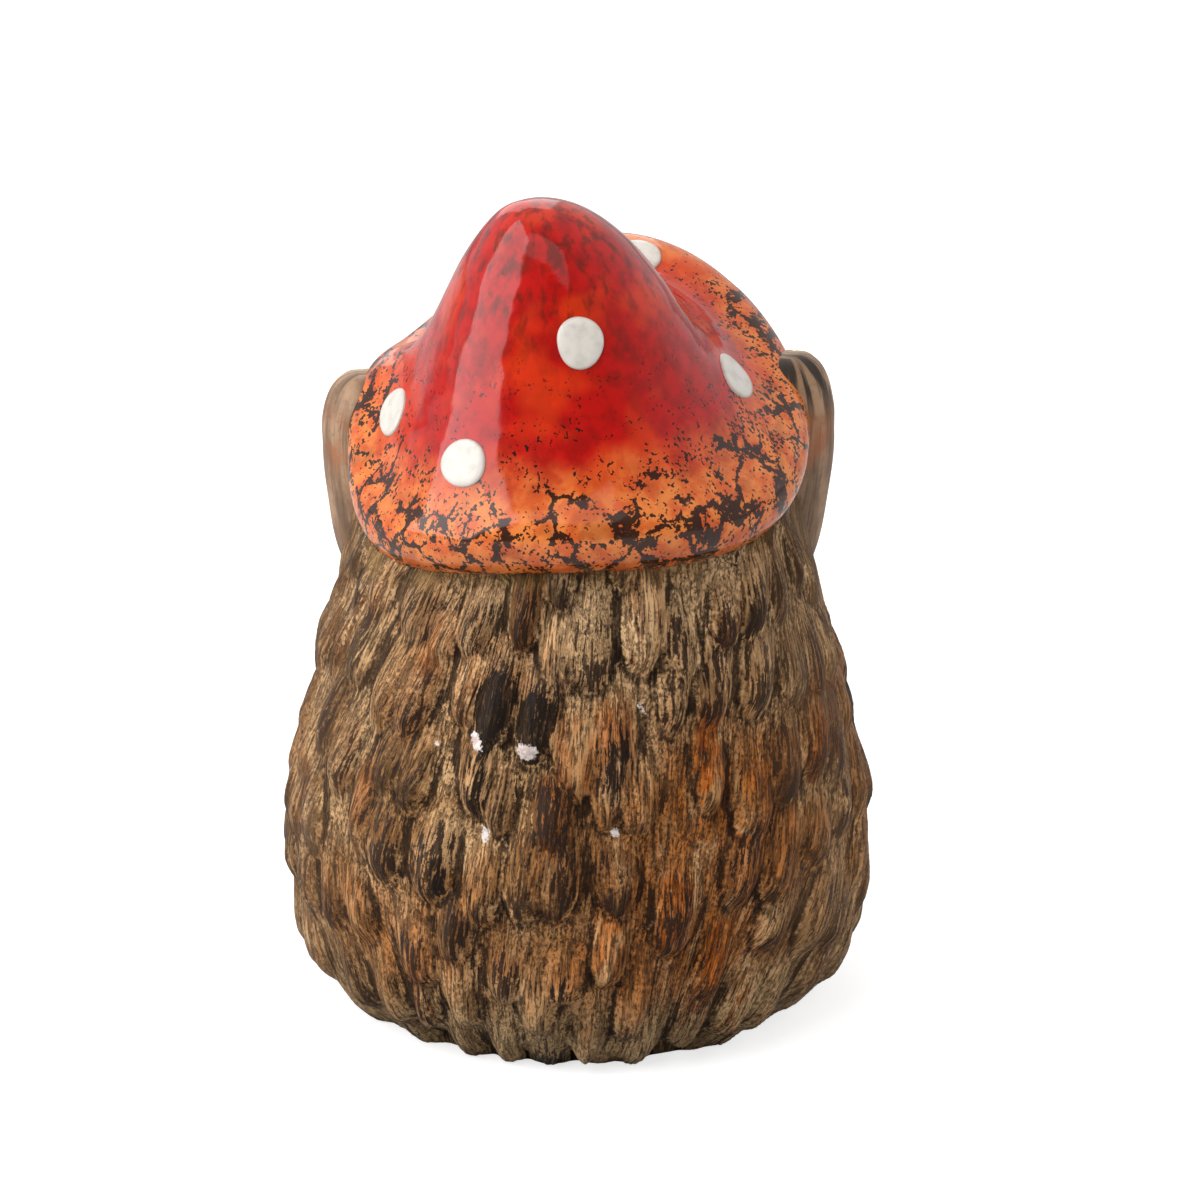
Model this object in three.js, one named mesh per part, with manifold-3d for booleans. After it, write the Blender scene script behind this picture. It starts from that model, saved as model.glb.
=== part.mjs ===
// A hollow earthenware hedgehog that stands upright and holds a toadstool cap on its head.
// Millimetres, +Z up. The face looks along -Y, and the figure's own left is +X.
// The pieces are the clay parts a potter casts or presses and lutes together with slip.
import * as THREE from "three";
import { mergeVertices } from "three/addons/utils/BufferGeometryUtils.js";
import Module from "manifold-3d";

const wasm = await Module();
wasm.setup();

const { degToRad, lerp, smoothstep } = THREE.MathUtils;

// Driving dimensions
const WALL = 5; // cast wall of the body and of the cap
const SLIP_GAP = 0.3; // slip joint between two luted pieces
const FOOTPRINT_SHIFT_Y = 8; // puts the origin under the middle of the whole figure
const POUR_HOLE_RADIUS = 17; // hole in the base that the casting slip is drained through
const VENT_RADIUS = 4; // hole in the crown that vents the cap during firing
const FRONT = -Math.PI / 2; // direction of the face, as a turn from +X

// Body outline from the base to the crown: height, half width, depth behind and depth in front of the axis
const BODY_STATIONS = [
  [0, 44.5, 44, 43],
  [5, 51.5, 50.5, 48.5],
  [14, 56.3, 55, 52.5],
  [32, 58.6, 57, 54],
  [48, 57.4, 55.5, 52],
  [64, 54, 52, 48.5],
  [80, 49.8, 48, 45.5],
  [93, 46, 45, 44],
  [104, 42.5, 42.5, 44.5],
  [114, 38.5, 38, 44],
  [123, 33.5, 32.5, 41],
  [131, 26, 25, 35],
  [137, 15.5, 14, 24],
  [139.5, 0, 0, 0],
];
const CROWN_HEIGHT = BODY_STATIONS[BODY_STATIONS.length - 1][0];

// Coat of overlapping spine tufts, modelled in the clay of the back and the sides
const TUFTS_AROUND = 28;
const TUFT_ROWS = 8;
const TUFT_PITCH = 13; // height from one row of tips to the next
const TUFT_STAGGER = 1 / 3; // share of a tuft's width that each row is set over from the one below
const TUFT_RELIEF = 1.8; // how far a tip stands proud
const TUFT_ROOT_SHARE = 0.3; // share of that relief at the root
const COAT_TOP = 101; // the cap hides what is above
const COAT_EDGE = degToRad(52); // bare face and belly, either side of the front
const COAT_EDGE_BLEND = degToRad(10);

// Grid of the body's outside and inside
const COLUMNS_PER_TUFT = 3;
const TUFT_GRID = [0, 0.45, 0.88]; // heights of the grid in a row of tufts: tip, middle and root
const HEAD_ROWS = 7; // rows above the coat
const BASE_ROWS = 2; // rows that lie flat in the base
const HOLLOW_COLUMNS = 28;
const HOLLOW_ROWS = 14;

// Toadstool cap
const CAP_PEAK = new THREE.Vector3(8.7, 11.4, 170.5);
const BRIM_HALF_WIDTH = 46;
const BRIM_HALF_DEPTH = 47;
const BRIM_MEAN_HEIGHT = 110; // lowest point of the lip, averaged round the brim
const BRIM_TILT_BACK = 12.3; // the brim is this much lower behind and higher in front
const BRIM_TILT_LEFT = 5.2; // and this much lower on the figure's left
const BRIM_SIDE_DROOP = 6.3;
const BRIM_TWIST = 1.7; // higher by this behind on the left and in front on the right
const PAW_TURN = degToRad(-16); // the left paw pushes the brim up here
const PAW_SPREAD = degToRad(22);
const PAW_LIFT = 10;
const LIP_RADIUS = 8;
const CAP_FLARE = degToRad(11); // how much flatter the flank is at the lip than on average
const CAP_FLARE_FRONT = degToRad(60); // and how much more in front, where the brim turns up
const CAP_TIP_ROUNDING = 0.48; // share of the flank's reach that the rounded tip takes
const CAP_TIP_WALL = 1.6; // the tip is cast this much thicker than the flank
const CAP_FLANK_PULL = 0.31; // share of the flank that keeps to the slope at the lip
const CAP_COLUMNS = 44;
const CAP_HOLLOW_COLUMNS = 22;
const CAP_FLANK_ROWS = 12;
const CAP_LIP_ROWS = 6;
const CAP_UNDER_ROWS = 2;

// Raised enamel spots on the cap: turn from +X in degrees, and share of the way from the peak to the lip,
// which is above 1 on the lip
const SPOT_THICKNESS = 0.8;
const SPOT_SIDES = 18;
const SPOTS = [
  { turn: 101, reach: 0.52, radius: 5 },
  { turn: 55, reach: 0.825, radius: 4.6 },
  { turn: 4, reach: 0.845, radius: 4.3 },
  { turn: 177.5, reach: 0.805, radius: 4.6 },
  { turn: 247, reach: 0.97, radius: 4.8 },
  { turn: 268, reach: 1.28, radius: 4.6 },
  { turn: 303, reach: 1.12, radius: 4.8 },
  { turn: 226, reach: 1.3, radius: 4.5 },
];

// Limbs and face, given for the figure's left side and mirrored for the right
const ARM_PATH = [
  [33, -17, 77],
  [39, -15.5, 90],
  [41.5, -13.5, 103],
  [42.2, -13, 114],
  [41, -14, 125.5],
];
const ARM_GIRTH = 10;
const ARM_TAPER = 0.15; // share of the girth that is lost between the shoulder and the paw
const ARM_END_SHARPNESS = 8;
const RIGHT_ARM_RISE = 4; // the brim is higher on the right, so that paw reaches higher
const FOOT_CENTRE = new THREE.Vector3(23, -47, 5);
const FOOT_HALF_SIZE = new THREE.Vector3(12, 17, 9);
const FOOT_SPLAY = degToRad(14);
const EAR_CENTRE = new THREE.Vector3(30, -28.3, 109.5);
const EAR_HALF_SIZE = new THREE.Vector3(8.5, 4, 9);
const EAR_DISH = new THREE.Vector3(0.7, 0.6, 0.7); // the hollow of the ear, as shares of its size
const EAR_TURN = degToRad(38);
const EYE_CENTRE = new THREE.Vector3(15, -41, 116);
const EYE_RADIUS = 4.2;
const MUZZLE_PATH = [
  [0, -28, 103],
  [0, -42, 102],
  [0, -57, 103],
  [0, -68, 106],
];
const MUZZLE_GIRTH = 19;
const MUZZLE_TAPER = 0.66;
const MUZZLE_TAPER_POWER = 0.75; // below 1, so that the taper is quickest at the face
const MUZZLE_END_SHARPNESS = 14;
const NOSE_CENTRE = new THREE.Vector3(0, -69, 108);
const NOSE_HALF_SIZE = new THREE.Vector3(6.2, 5, 4.8);

// A sphere whose grid is pulled onto another surface. place gets the turn from +X in radians
// and the row, from 0 at the top pole to rows at the bottom pole.
function pulledSphere(columns, rows, place) {
  const sphere = new THREE.SphereGeometry(1, columns, rows);
  const position = sphere.getAttribute("position");
  for (let i = 0; i < position.count; i++) {
    const column = (i % (columns + 1)) % columns;
    const row = Math.floor(i / (columns + 1));
    const point = place((column / columns) * 2 * Math.PI, row);
    position.setXYZ(i, point.x, point.y, point.z);
  }
  return sphere;
}

function ellipsoid(halfSize, centre, turn = 0, columns = 16, rows = 10) {
  return new THREE.SphereGeometry(1, columns, rows)
    .rotateX(Math.PI / 2)
    .scale(halfSize.x, halfSize.y, halfSize.z)
    .rotateZ(turn)
    .translate(centre.x, centre.y, centre.z);
}

// A round limb along a path, with a girth that is zero at both ends
function limb(points, girth, columns, rows) {
  const path = new THREE.CatmullRomCurve3(points.map((point) => new THREE.Vector3(...point)));
  const frames = path.computeFrenetFrames(rows, false);
  return pulledSphere(columns, rows, (turn, row) => {
    const around = frames.normals[row]
      .clone()
      .multiplyScalar(Math.cos(turn))
      .addScaledVector(frames.binormals[row], -Math.sin(turn));
    return path.getPointAt(row / rows).addScaledVector(around, girth(row / rows));
  });
}

// 1 along most of a limb, and rounded to 0 at its ends
function roundEnded(along, sharpness) {
  const towardsEnd = Math.abs(2 * along - 1);
  return Math.sqrt(Math.max(1 - Math.pow(towardsEnd, sharpness), 0));
}

// Closed geometry as a solid that can be joined and cut
function solidOf(geometry) {
  const bare = geometry.clone().deleteAttribute("normal").deleteAttribute("uv");
  const merged = mergeVertices(bare, 1e-3);
  const vertProperties = new Float32Array(merged.getAttribute("position").array);
  const triVerts = new Uint32Array(merged.index.array);
  return new wasm.Manifold(new wasm.Mesh({ numProp: 3, vertProperties, triVerts }));
}

function geometryOf(solid) {
  const mesh = solid.getMesh();
  const geometry = new THREE.BufferGeometry();
  geometry.setAttribute("position", new THREE.BufferAttribute(mesh.vertProperties, mesh.numProp));
  geometry.setIndex(new THREE.BufferAttribute(mesh.triVerts, 1));
  geometry.computeVertexNormals();
  return geometry;
}

// Body

function outlineOf(column) {
  const points = BODY_STATIONS.map((station) => new THREE.Vector2(station[column], station[0]));
  return new THREE.SplineCurve(points);
}

const SIDE_OUTLINE = outlineOf(1);
const BACK_OUTLINE = outlineOf(2);
const FRONT_OUTLINE = outlineOf(3);

// Smallest angle between two directions
function angleBetween(turn, other) {
  const away = Math.abs(turn - other) % (2 * Math.PI);
  return Math.min(away, 2 * Math.PI - away);
}

// Height of the tufts over the smooth clay: each one swells towards its tip, and the rows are set over
function tuftRelief(turn, height) {
  const row = Math.floor(height / TUFT_PITCH);
  const towardsTip = 1 - (height / TUFT_PITCH - row);
  const across = (turn / (2 * Math.PI)) * TUFTS_AROUND + row * TUFT_STAGGER;
  const ridge = 0.5 + 0.5 * Math.cos(across * 2 * Math.PI);
  const swell = lerp(TUFT_ROOT_SHARE, 1, towardsTip);
  const inCoat = smoothstep(angleBetween(turn, FRONT), COAT_EDGE, COAT_EDGE + COAT_EDGE_BLEND);
  const belowCap = 1 - smoothstep(height, COAT_TOP - TUFT_PITCH, COAT_TOP);
  return TUFT_RELIEF * ridge * swell * inCoat * belowCap;
}

// How far along the outline, from 0 at the base to 1 at the crown, a height is reached
function alongAt(height) {
  let low = 0;
  let high = 1;
  for (let i = 0; i < 30; i++) {
    const middle = (low + high) / 2;
    if (SIDE_OUTLINE.getPoint(middle).y < height) {
      low = middle;
    } else {
      high = middle;
    }
  }
  return low;
}

// Grid rows of the outside, from the crown to the base: the coat's rows follow its tufts
function coatRows() {
  const rows = [];
  for (let tuft = 0; tuft < TUFT_ROWS; tuft++) {
    rows.push(...TUFT_GRID.map((share) => alongAt((tuft + share) * TUFT_PITCH)));
  }
  const coatEnd = rows[rows.length - 1];
  for (let i = 1; i <= HEAD_ROWS; i++) {
    rows.push(lerp(coatEnd, 1, i / HEAD_ROWS));
  }
  return rows.reverse();
}

// Evenly spread grid rows, for the inside
function evenRows(count) {
  return Array.from({ length: count + 1 }, (_, i) => 1 - i / count);
}

// A point of the body's surface, grown outwards by a distance that is negative for the inside
function bodyPoint(turn, along, grow, relief) {
  const side = SIDE_OUTLINE.getPoint(along);
  const depth = (Math.sin(turn) > 0 ? BACK_OUTLINE : FRONT_OUTLINE).getPoint(along);
  const atCrown = along === 1;
  const swell = grow + (relief ? tuftRelief(turn, side.y) : 0);
  const halfWidth = atCrown ? 0 : Math.max(side.x + swell, 0);
  const halfDepth = atCrown ? 0 : Math.max(depth.x + swell, 0);
  const insideHeight = -grow + (side.y * (CROWN_HEIGHT + 2 * grow)) / CROWN_HEIGHT;
  const outsideHeight = side.y + (atCrown ? grow : 0);
  return new THREE.Vector3(
    halfWidth * Math.cos(turn),
    halfDepth * Math.sin(turn),
    grow < 0 ? insideHeight : outsideHeight,
  );
}

function bodyGeometry(grow, relief, columns, rows) {
  const wallRows = rows.length - 1;
  return pulledSphere(columns, wallRows + BASE_ROWS, (turn, row) => {
    const point = bodyPoint(turn, rows[Math.min(row, wallRows)], grow, relief);
    const inBase = Math.max(0, row - wallRows) / BASE_ROWS;
    point.x *= 1 - inBase;
    point.y *= 1 - inBase;
    return point;
  });
}

const outerBody = (grow) => solidOf(bodyGeometry(grow, true, TUFTS_AROUND * COLUMNS_PER_TUFT, coatRows()));
const bodyHollow = () => solidOf(bodyGeometry(-WALL, false, HOLLOW_COLUMNS, evenRows(HOLLOW_ROWS)));

// Drain and vent holes of the body casting
function uprightHole(radius, low, high) {
  const hole = new THREE.CylinderGeometry(radius, radius, high - low, 32).rotateX(Math.PI / 2);
  return solidOf(hole.translate(0, 0, (low + high) / 2));
}

// Toadstool cap

// How far the left paw pushes the brim up
function pawLift(turn) {
  const away = angleBetween(turn, PAW_TURN) / PAW_SPREAD;
  return PAW_LIFT * Math.exp(-away * away);
}

function brimPoint(turn) {
  const height =
    BRIM_MEAN_HEIGHT +
    pawLift(turn) +
    BRIM_TWIST * Math.sin(2 * turn) -
    BRIM_TILT_LEFT * Math.cos(turn) -
    BRIM_TILT_BACK * Math.sin(turn) -
    BRIM_SIDE_DROOP * Math.cos(2 * turn);
  return new THREE.Vector3(BRIM_HALF_WIDTH * Math.cos(turn), BRIM_HALF_DEPTH * Math.sin(turn), height);
}

// A point at an angle on the lip's round section, which is given as reach from the peak and height
function onLip(centre, radius, angle) {
  return new THREE.Vector2(Math.cos(angle), Math.sin(angle)).multiplyScalar(radius).add(centre);
}

// The cap's section on one side: over the flank, round the lip and in under it.
// grow is negative for the hollow inside, which ends one wall above the lip.
function capSection(turn, row, grow) {
  const brim = brimPoint(turn);
  const reach = Math.hypot(brim.x - CAP_PEAK.x, brim.y - CAP_PEAK.y);
  const slope = Math.atan2(reach, CAP_PEAK.z - brim.z);
  const ahead = (1 - Math.sin(turn)) / 2;
  const lipStart = slope + CAP_FLARE + CAP_FLARE_FRONT * ahead * ahead;
  const lipCentre = new THREE.Vector2(reach - LIP_RADIUS, brim.z + LIP_RADIUS);
  const lipRow = row - CAP_FLANK_ROWS;
  if (lipRow > 0) {
    const angle = lerp(lipStart, -Math.PI / 2, Math.min(lipRow / CAP_LIP_ROWS, 1));
    return { brim, reach, point: onLip(lipCentre, LIP_RADIUS + grow, angle) };
  }
  const end = onLip(lipCentre, LIP_RADIUS + grow, lipStart);
  const tip = new THREE.Vector2(0, CAP_PEAK.z + grow * (grow < 0 ? CAP_TIP_WALL : 1));
  const pull = CAP_FLANK_PULL * end.distanceTo(tip);
  const flank = new THREE.CubicBezierCurve(
    tip,
    new THREE.Vector2(CAP_TIP_ROUNDING * end.x, tip.y),
    new THREE.Vector2(end.x - pull * Math.sin(lipStart), end.y + pull * Math.cos(lipStart)),
    end,
  );
  return { brim, reach, point: flank.getPoint(row / CAP_FLANK_ROWS) };
}

function capPoint(turn, row, grow) {
  const { brim, reach, point } = capSection(turn, row, grow);
  const surface = CAP_PEAK.clone().lerp(brim, point.x / reach).setZ(point.y);
  const underCentre = new THREE.Vector3(0, 0, BRIM_MEAN_HEIGHT - grow);
  const underRow = Math.max(row - CAP_FLANK_ROWS - CAP_LIP_ROWS, 0);
  return surface.lerp(underCentre, underRow / CAP_UNDER_ROWS);
}

function capSolid(grow, columns = CAP_COLUMNS) {
  const rows = CAP_FLANK_ROWS + CAP_LIP_ROWS + CAP_UNDER_ROWS;
  return solidOf(pulledSphere(columns, rows, (turn, row) => capPoint(turn, row, grow)));
}

// A spot is punched along the cap's normal out of the layer between two grown caps
function spotSolid(spot, capClear, capRaised) {
  const turn = degToRad(spot.turn);
  const row = spot.reach * CAP_FLANK_ROWS;
  const step = 0.01;
  const centre = capPoint(turn, row, 0);
  const downhill = capPoint(turn, row + step, 0).sub(centre);
  const sideways = capPoint(turn + step, row, 0).sub(centre);
  const normal = downhill.cross(sideways).normalize();
  const upright = new THREE.Vector3(0, 1, 0);
  const punch = new THREE.CylinderGeometry(spot.radius, spot.radius, 2 * LIP_RADIUS, SPOT_SIDES)
    .applyQuaternion(new THREE.Quaternion().setFromUnitVectors(upright, normal))
    .translate(centre.x, centre.y, centre.z);
  return capRaised.intersect(solidOf(punch)).subtract(capClear);
}

// Limbs and face

const onSide = (centre, side) => new THREE.Vector3(side * centre.x, centre.y, centre.z);

function armSolid(side) {
  const rise = side < 0 ? RIGHT_ARM_RISE : 0;
  const points = ARM_PATH.map(([x, y, z], i) => [side * x, y, z + (rise * i) / (ARM_PATH.length - 1)]);
  const girth = (along) => ARM_GIRTH * (1 - ARM_TAPER * along) * roundEnded(along, ARM_END_SHARPNESS);
  return solidOf(limb(points, girth, 20, 16));
}

function muzzleSolid() {
  const taper = (along) => 1 - MUZZLE_TAPER * Math.pow(along, MUZZLE_TAPER_POWER);
  const girth = (along) => MUZZLE_GIRTH * taper(along) * roundEnded(along, MUZZLE_END_SHARPNESS);
  return solidOf(limb(MUZZLE_PATH, girth, 22, 14));
}

// A foot is an ellipsoid that stands flat on the ground
function footSolid(side) {
  const foot = ellipsoid(FOOT_HALF_SIZE, onSide(FOOT_CENTRE, side), side * FOOT_SPLAY, 20, 12);
  const position = foot.getAttribute("position");
  for (let i = 0; i < position.count; i++) {
    position.setZ(i, Math.max(position.getZ(i), 0));
  }
  return solidOf(foot);
}

function eyeSolid(side, grow) {
  const radius = EYE_RADIUS + grow;
  return solidOf(ellipsoid(new THREE.Vector3(radius, radius, radius), onSide(EYE_CENTRE, side)));
}

function noseSolid(grow) {
  return solidOf(ellipsoid(NOSE_HALF_SIZE.clone().addScalar(grow), NOSE_CENTRE));
}

// An ear is a thick disc with a dished front
function earSolid(side) {
  const turn = side * EAR_TURN;
  const centre = onSide(EAR_CENTRE, side);
  const ahead = new THREE.Vector3(side * Math.sin(EAR_TURN), -Math.cos(EAR_TURN), 0);
  const dishCentre = centre.clone().addScaledVector(ahead, EAR_HALF_SIZE.y);
  const dish = ellipsoid(EAR_HALF_SIZE.clone().multiply(EAR_DISH), dishCentre, turn);
  return solidOf(ellipsoid(EAR_HALF_SIZE, centre, turn)).subtract(solidOf(dish));
}

// Finishes
const finish = (color, roughness) => new THREE.MeshStandardMaterial({ color, roughness, metalness: 0 });
const COAT_WASH = finish(0x6b5238, 0.6);
const ARM_WASH = finish(0x7d6650, 0.55);
const FACE_SLIP = finish(0xc9a878, 0.55);
const RED_GLAZE = finish(0xb52412, 0.08);
const WHITE_ENAMEL = finish(0xe6e3da, 0.25);
const BLACK_GLAZE = finish(0x0d0c0c, 0.1);

// The figurine's pieces
const SIDES = { left: 1, right: -1 };
const bodyClear = outerBody(SLIP_GAP);
const capClear = capSolid(SLIP_GAP);
const capRaised = capSolid(SLIP_GAP + SPOT_THICKNESS);

const figurine = new THREE.Group();
figurine.position.y = FOOTPRINT_SHIFT_Y;

function addPiece(name, solid, material) {
  const mesh = new THREE.Mesh(geometryOf(solid), material);
  mesh.name = name;
  figurine.add(mesh);
}

let bodyShell = outerBody(0)
  .subtract(bodyHollow())
  .subtract(uprightHole(POUR_HOLE_RADIUS, -WALL, 2 * WALL))
  .subtract(uprightHole(VENT_RADIUS, CROWN_HEIGHT - 3 * WALL, CROWN_HEIGHT + WALL));
for (const [name, side] of Object.entries(SIDES)) {
  bodyShell = bodyShell.subtract(eyeSolid(side, SLIP_GAP));
  addPiece(`${name}_eye`, eyeSolid(side, 0), BLACK_GLAZE);
  addPiece(`${name}_ear`, earSolid(side).subtract(bodyClear).subtract(capClear), FACE_SLIP);
  addPiece(`${name}_arm`, armSolid(side).subtract(bodyClear).subtract(capClear), ARM_WASH);
  addPiece(`${name}_foot`, footSolid(side).subtract(bodyClear), FACE_SLIP);
}
addPiece("body_shell", bodyShell, COAT_WASH);
addPiece("muzzle", muzzleSolid().subtract(bodyClear).subtract(noseSolid(SLIP_GAP)), FACE_SLIP);
addPiece("nose", noseSolid(0), BLACK_GLAZE);
const capHollow = capSolid(-WALL, CAP_HOLLOW_COLUMNS);
addPiece("mushroom_cap", capSolid(0).subtract(capHollow).subtract(bodyClear), RED_GLAZE);
SPOTS.forEach((spot, i) => addPiece(`cap_spot_${i + 1}`, spotSolid(spot, capClear, capRaised), WHITE_ENAMEL));

const part = new THREE.Group();
part.add(figurine);
export default part;
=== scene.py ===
# Looks of an earthenware hedgehog under a toadstool cap: clay relief, brushed washes and glazes.
# Sizes are millimetres in the figure's own frame until a piece is made, and metres after that.
# Turns are measured from +X towards +Y, so the back is at 90 degrees and the face at -90.
import math
from collections import namedtuple
from types import SimpleNamespace

import bpy
import numpy as np
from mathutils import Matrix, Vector
from mathutils.bvhtree import BVHTree


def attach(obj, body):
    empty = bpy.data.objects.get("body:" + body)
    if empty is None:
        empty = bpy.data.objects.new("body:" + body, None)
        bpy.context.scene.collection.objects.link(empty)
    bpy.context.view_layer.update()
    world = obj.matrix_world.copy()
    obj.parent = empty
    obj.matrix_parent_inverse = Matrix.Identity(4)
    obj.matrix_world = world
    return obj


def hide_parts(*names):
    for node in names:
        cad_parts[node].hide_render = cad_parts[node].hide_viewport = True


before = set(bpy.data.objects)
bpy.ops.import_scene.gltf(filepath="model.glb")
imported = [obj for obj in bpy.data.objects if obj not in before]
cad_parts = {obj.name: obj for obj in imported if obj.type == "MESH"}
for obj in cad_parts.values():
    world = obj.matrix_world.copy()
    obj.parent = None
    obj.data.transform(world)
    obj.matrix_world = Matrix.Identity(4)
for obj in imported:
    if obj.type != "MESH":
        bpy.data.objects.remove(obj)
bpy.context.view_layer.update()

MM = 0.001
SHIFT_Y = 8.0  # the figure's axis lies this far behind the frame's origin
BODY = "root"
SIDES = {"left": 1, "right": -1}
rng = np.random.default_rng(11)

# Body: height, half width, depth behind and depth in front of the axis
BODY_STATIONS = [
    (0, 44.5, 44, 43),
    (5, 51.5, 50.5, 48.5),
    (14, 56.3, 55, 52.5),
    (32, 58.6, 57, 54),
    (48, 57.4, 55.5, 52),
    (64, 54, 52, 48.5),
    (80, 49.8, 48, 45.5),
    (93, 46, 45, 44),
    (104, 42.5, 42.5, 44.5),
    (114, 38.5, 38, 44),
    (123, 33.5, 32.5, 41),
    (131, 26, 25, 35),
    (137, 15.5, 14, 24),
    (139.5, 0, 0, 0),
]
CROWN = BODY_STATIONS[-1][0]
OUTLINE_STEPS = 2601
WALL = 5.0
POUR_HOLE_RADIUS = 17.0
COAT_ROWS = 124
COAT_ROWS_TOP = 106.0  # height that the close rows reach
HEAD_ROWS = 24  # above those
INSIDE_ROWS = 9
FRONT_COLUMNS = 50  # on each side of the front
BACK_COLUMNS = 460
FRONT_SPAN = 50.0  # degrees on each side of the front with wider columns

# Coat of overlapping tufts
TUFTS_AROUND = 34
TUFT_PITCH = 16.5  # up the surface, from one row of tips to the next
FIRST_TIP = -8.0  # the lowest row runs off the base
TUFT_SPREADS = [0.16, 3.2, 4.0, 0.06, 0.2, 5.0]  # place round, climb, length, width, lift and lean
COAT_CEILING = 131.0
COAT_INSET = 3.0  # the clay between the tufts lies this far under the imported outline
COAT_EDGE = 52.0  # degrees from the front where the coat gives way to the belly
FACE_LOW = 95.0  # the coat closes over the face like a hood from here
FACE_TOP = 125.0
STROKE_RADIUS = 52.0  # the strokes keep their spacing at this distance from the axis
UNION_POWER = 3.5  # a higher power parts overlapping tufts more sharply
TUFT_END = 0.4  # share of a tuft's length that rounds off to its tip
COMB_PITCH = 1.9
COMB_DEPTH = 0.1
# The last three masks hold dark paint together with painted shade beside the tufts and on their lower ends,
# and painted shadow below their tips.
COAT_MASKS = ("dark", "rust", "tip", "tone", "cover", "gap_paint_and_shade", "end", "under")

# Tufts with black paint, as turn and height of the tip, and what sets them apart
BLACK_TUFTS = [(69.4, 69.3), (79.0, 66.3)]
BLACK_PAINT = {"length": 28, "width": 4.8, "dark": 1.0, "rust": 0.0, "tip": 2.4, "lean": 8.0}
# Chips down to the bare clay: turn, height, half width, half height and degrees of lean
CHIPS = [
    (67.3, 70.6, 1.1, 1.9, -35),
    (78.8, 69.6, 2.2, 1.7, 0),
    (70.4, 52.4, 0.9, 1.4, 0),
    (97.7, 53.9, 0.9, 1.1, -20),
    (105.4, 77.3, 0.5, 1.3, -30),
    (56.6, 68.1, 0.5, 0.4, 0),
]
# Rusty parts of the coat: turn, height, radius and strength
RUST = [
    (117, 44, 28, 1.0),
    (104, 22, 18, 0.8),
    (50, 24, 20, 0.75),
    (50, 85, 15, 0.6),
    (126, 62, 14, 0.6),
    (75, 84, 12, 0.4),
    (185, 40, 22, 0.6),
    (-10, 60, 20, 0.5),
]
RUST_RADIUS = 54.0  # distance from the axis at which these are measured sideways

# Toadstool cap
CAP_PEAK = np.array([8.7, 11.4, 170.5])
BRIM_HALF_WIDTH = 46.0
BRIM_HALF_DEPTH = 47.0
BRIM_MEAN_HEIGHT = 110.0
BRIM_TILT_BACK = 12.3
BRIM_TILT_LEFT = 5.2
BRIM_SIDE_DROOP = 6.3
BRIM_TWIST = 1.7
PAW_TURN = math.radians(-16)  # the left paw pushes the brim up here
PAW_SPREAD = math.radians(22)
PAW_LIFT = 10.0
LIP_RADIUS = 8.0
CAP_FLARE = math.radians(11)
CAP_FLARE_FRONT = math.radians(60)
CAP_TIP_ROUNDING = 0.48
CAP_FLANK_PULL = 0.31
CAP_COLUMNS = 240
CAP_FLANK_ROWS = 84
CAP_LIP_ROWS = 26
CAP_SOCKET_ROWS = 6
BRIM_CHECKS = 180  # points of the lip that the running glaze is measured from
# Enamel spots: turn, share of the way down the flank (above 1 on the lip), radius and stretch sideways
SPOTS = [
    (101, 0.52, 5.0, 1.0),
    (55, 0.825, 4.6, 1.3),
    (4, 0.845, 4.3, 1.3),
    (177.5, 0.805, 4.6, 1.35),
    (247, 0.97, 4.8, 1.0),
    (268, 1.28, 4.6, 1.1),
    (303, 1.12, 4.8, 1.0),
    (226, 1.3, 4.5, 1.1),
]
SPOT_COLUMNS = 48
SPOT_SHARES = np.array([0.12, 0.28, 0.45, 0.6, 0.74, 0.85, 0.93, 0.98, 1.0])  # rings from the middle out
SPOT_RISE = 0.75
SPOT_SINK = 0.4  # the edge goes this far into the cap
SPOT_REACH = 8.0  # the cap is looked for from this far outside

# Limbs and face of the figure's left side. Grids are rows and columns of points
PATH_STEPS = 400
LIMB_CHECKS = 40  # places along a limb that distances are measured from
LIMB_STROKE_RADIUS = 9.0
ARM_PATH = [(33, -17, 77), (39, -15.5, 90), (41.5, -13.5, 103), (42.2, -13, 114), (41, -14, 125.5)]
ARM_GIRTH = 10.0
ARM_GRID = (96, 144)
RIGHT_ARM_RISE = 4.0
FINGERS = np.radians([-54, -18, 18, 54])  # round the paw, from the side towards the face
FINGER_GAPS = (FINGERS[1:] + FINGERS[:-1]) / 2
FOOT_CENTRE = (23, -47, 5)
FOOT_HALF_SIZE = (12, 17, 9)
FOOT_SPLAY = math.radians(14)
FOOT_GRID = (60, 120)
TOES = np.radians([-36, -12, 12, 36])
TOE_GAPS = (TOES[1:] + TOES[:-1]) / 2
EAR_CENTRE = (30, -28.3, 109.5)
EAR_HALF_SIZE = (8.5, 9.0)
EAR_TURN = math.radians(38)
EAR_GRID = (42, 64)
# Section of an ear from the middle of its back to the middle of its dish: share of its size, and depth
EAR_SECTION = [
    (0, 3.9),
    (0.4, 3.5),
    (0.75, 2.4),
    (0.95, 0.9),
    (1.0, -0.4),
    (0.94, -1.7),
    (0.84, -1.9),
    (0.72, -1.0),
    (0.5, 0.4),
    (0.25, 1.2),
    (0, 1.4),
]
EYE_CENTRE = (15, -41, 116)
EYE_RADIUS = 4.2
EYE_GRID = (30, 48)
EYE_SHRINK = 0.06  # keeps the uneven bead inside its packed outline
CHEEK_CENTRE = (23, -36, 99)
CHEEK_HALF_SIZE = (11, 12, 9)
MUZZLE_PATH = [(0, -28, 103), (0, -42, 102), (0, -57, 103), (0, -68, 106)]
MUZZLE_GIRTH = 19.0
MUZZLE_GRID = (88, 96)
NOSE_CENTRE = (0, -69, 108)
NOSE_HALF_SIZE = (6.2, 5.0, 4.8)
NOSE_GRID = (46, 64)
NOSTRIL = (0.52, -0.78, -0.3)  # direction from the nose's middle
NOSTRIL_WIDTH = math.sqrt(0.035)

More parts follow.
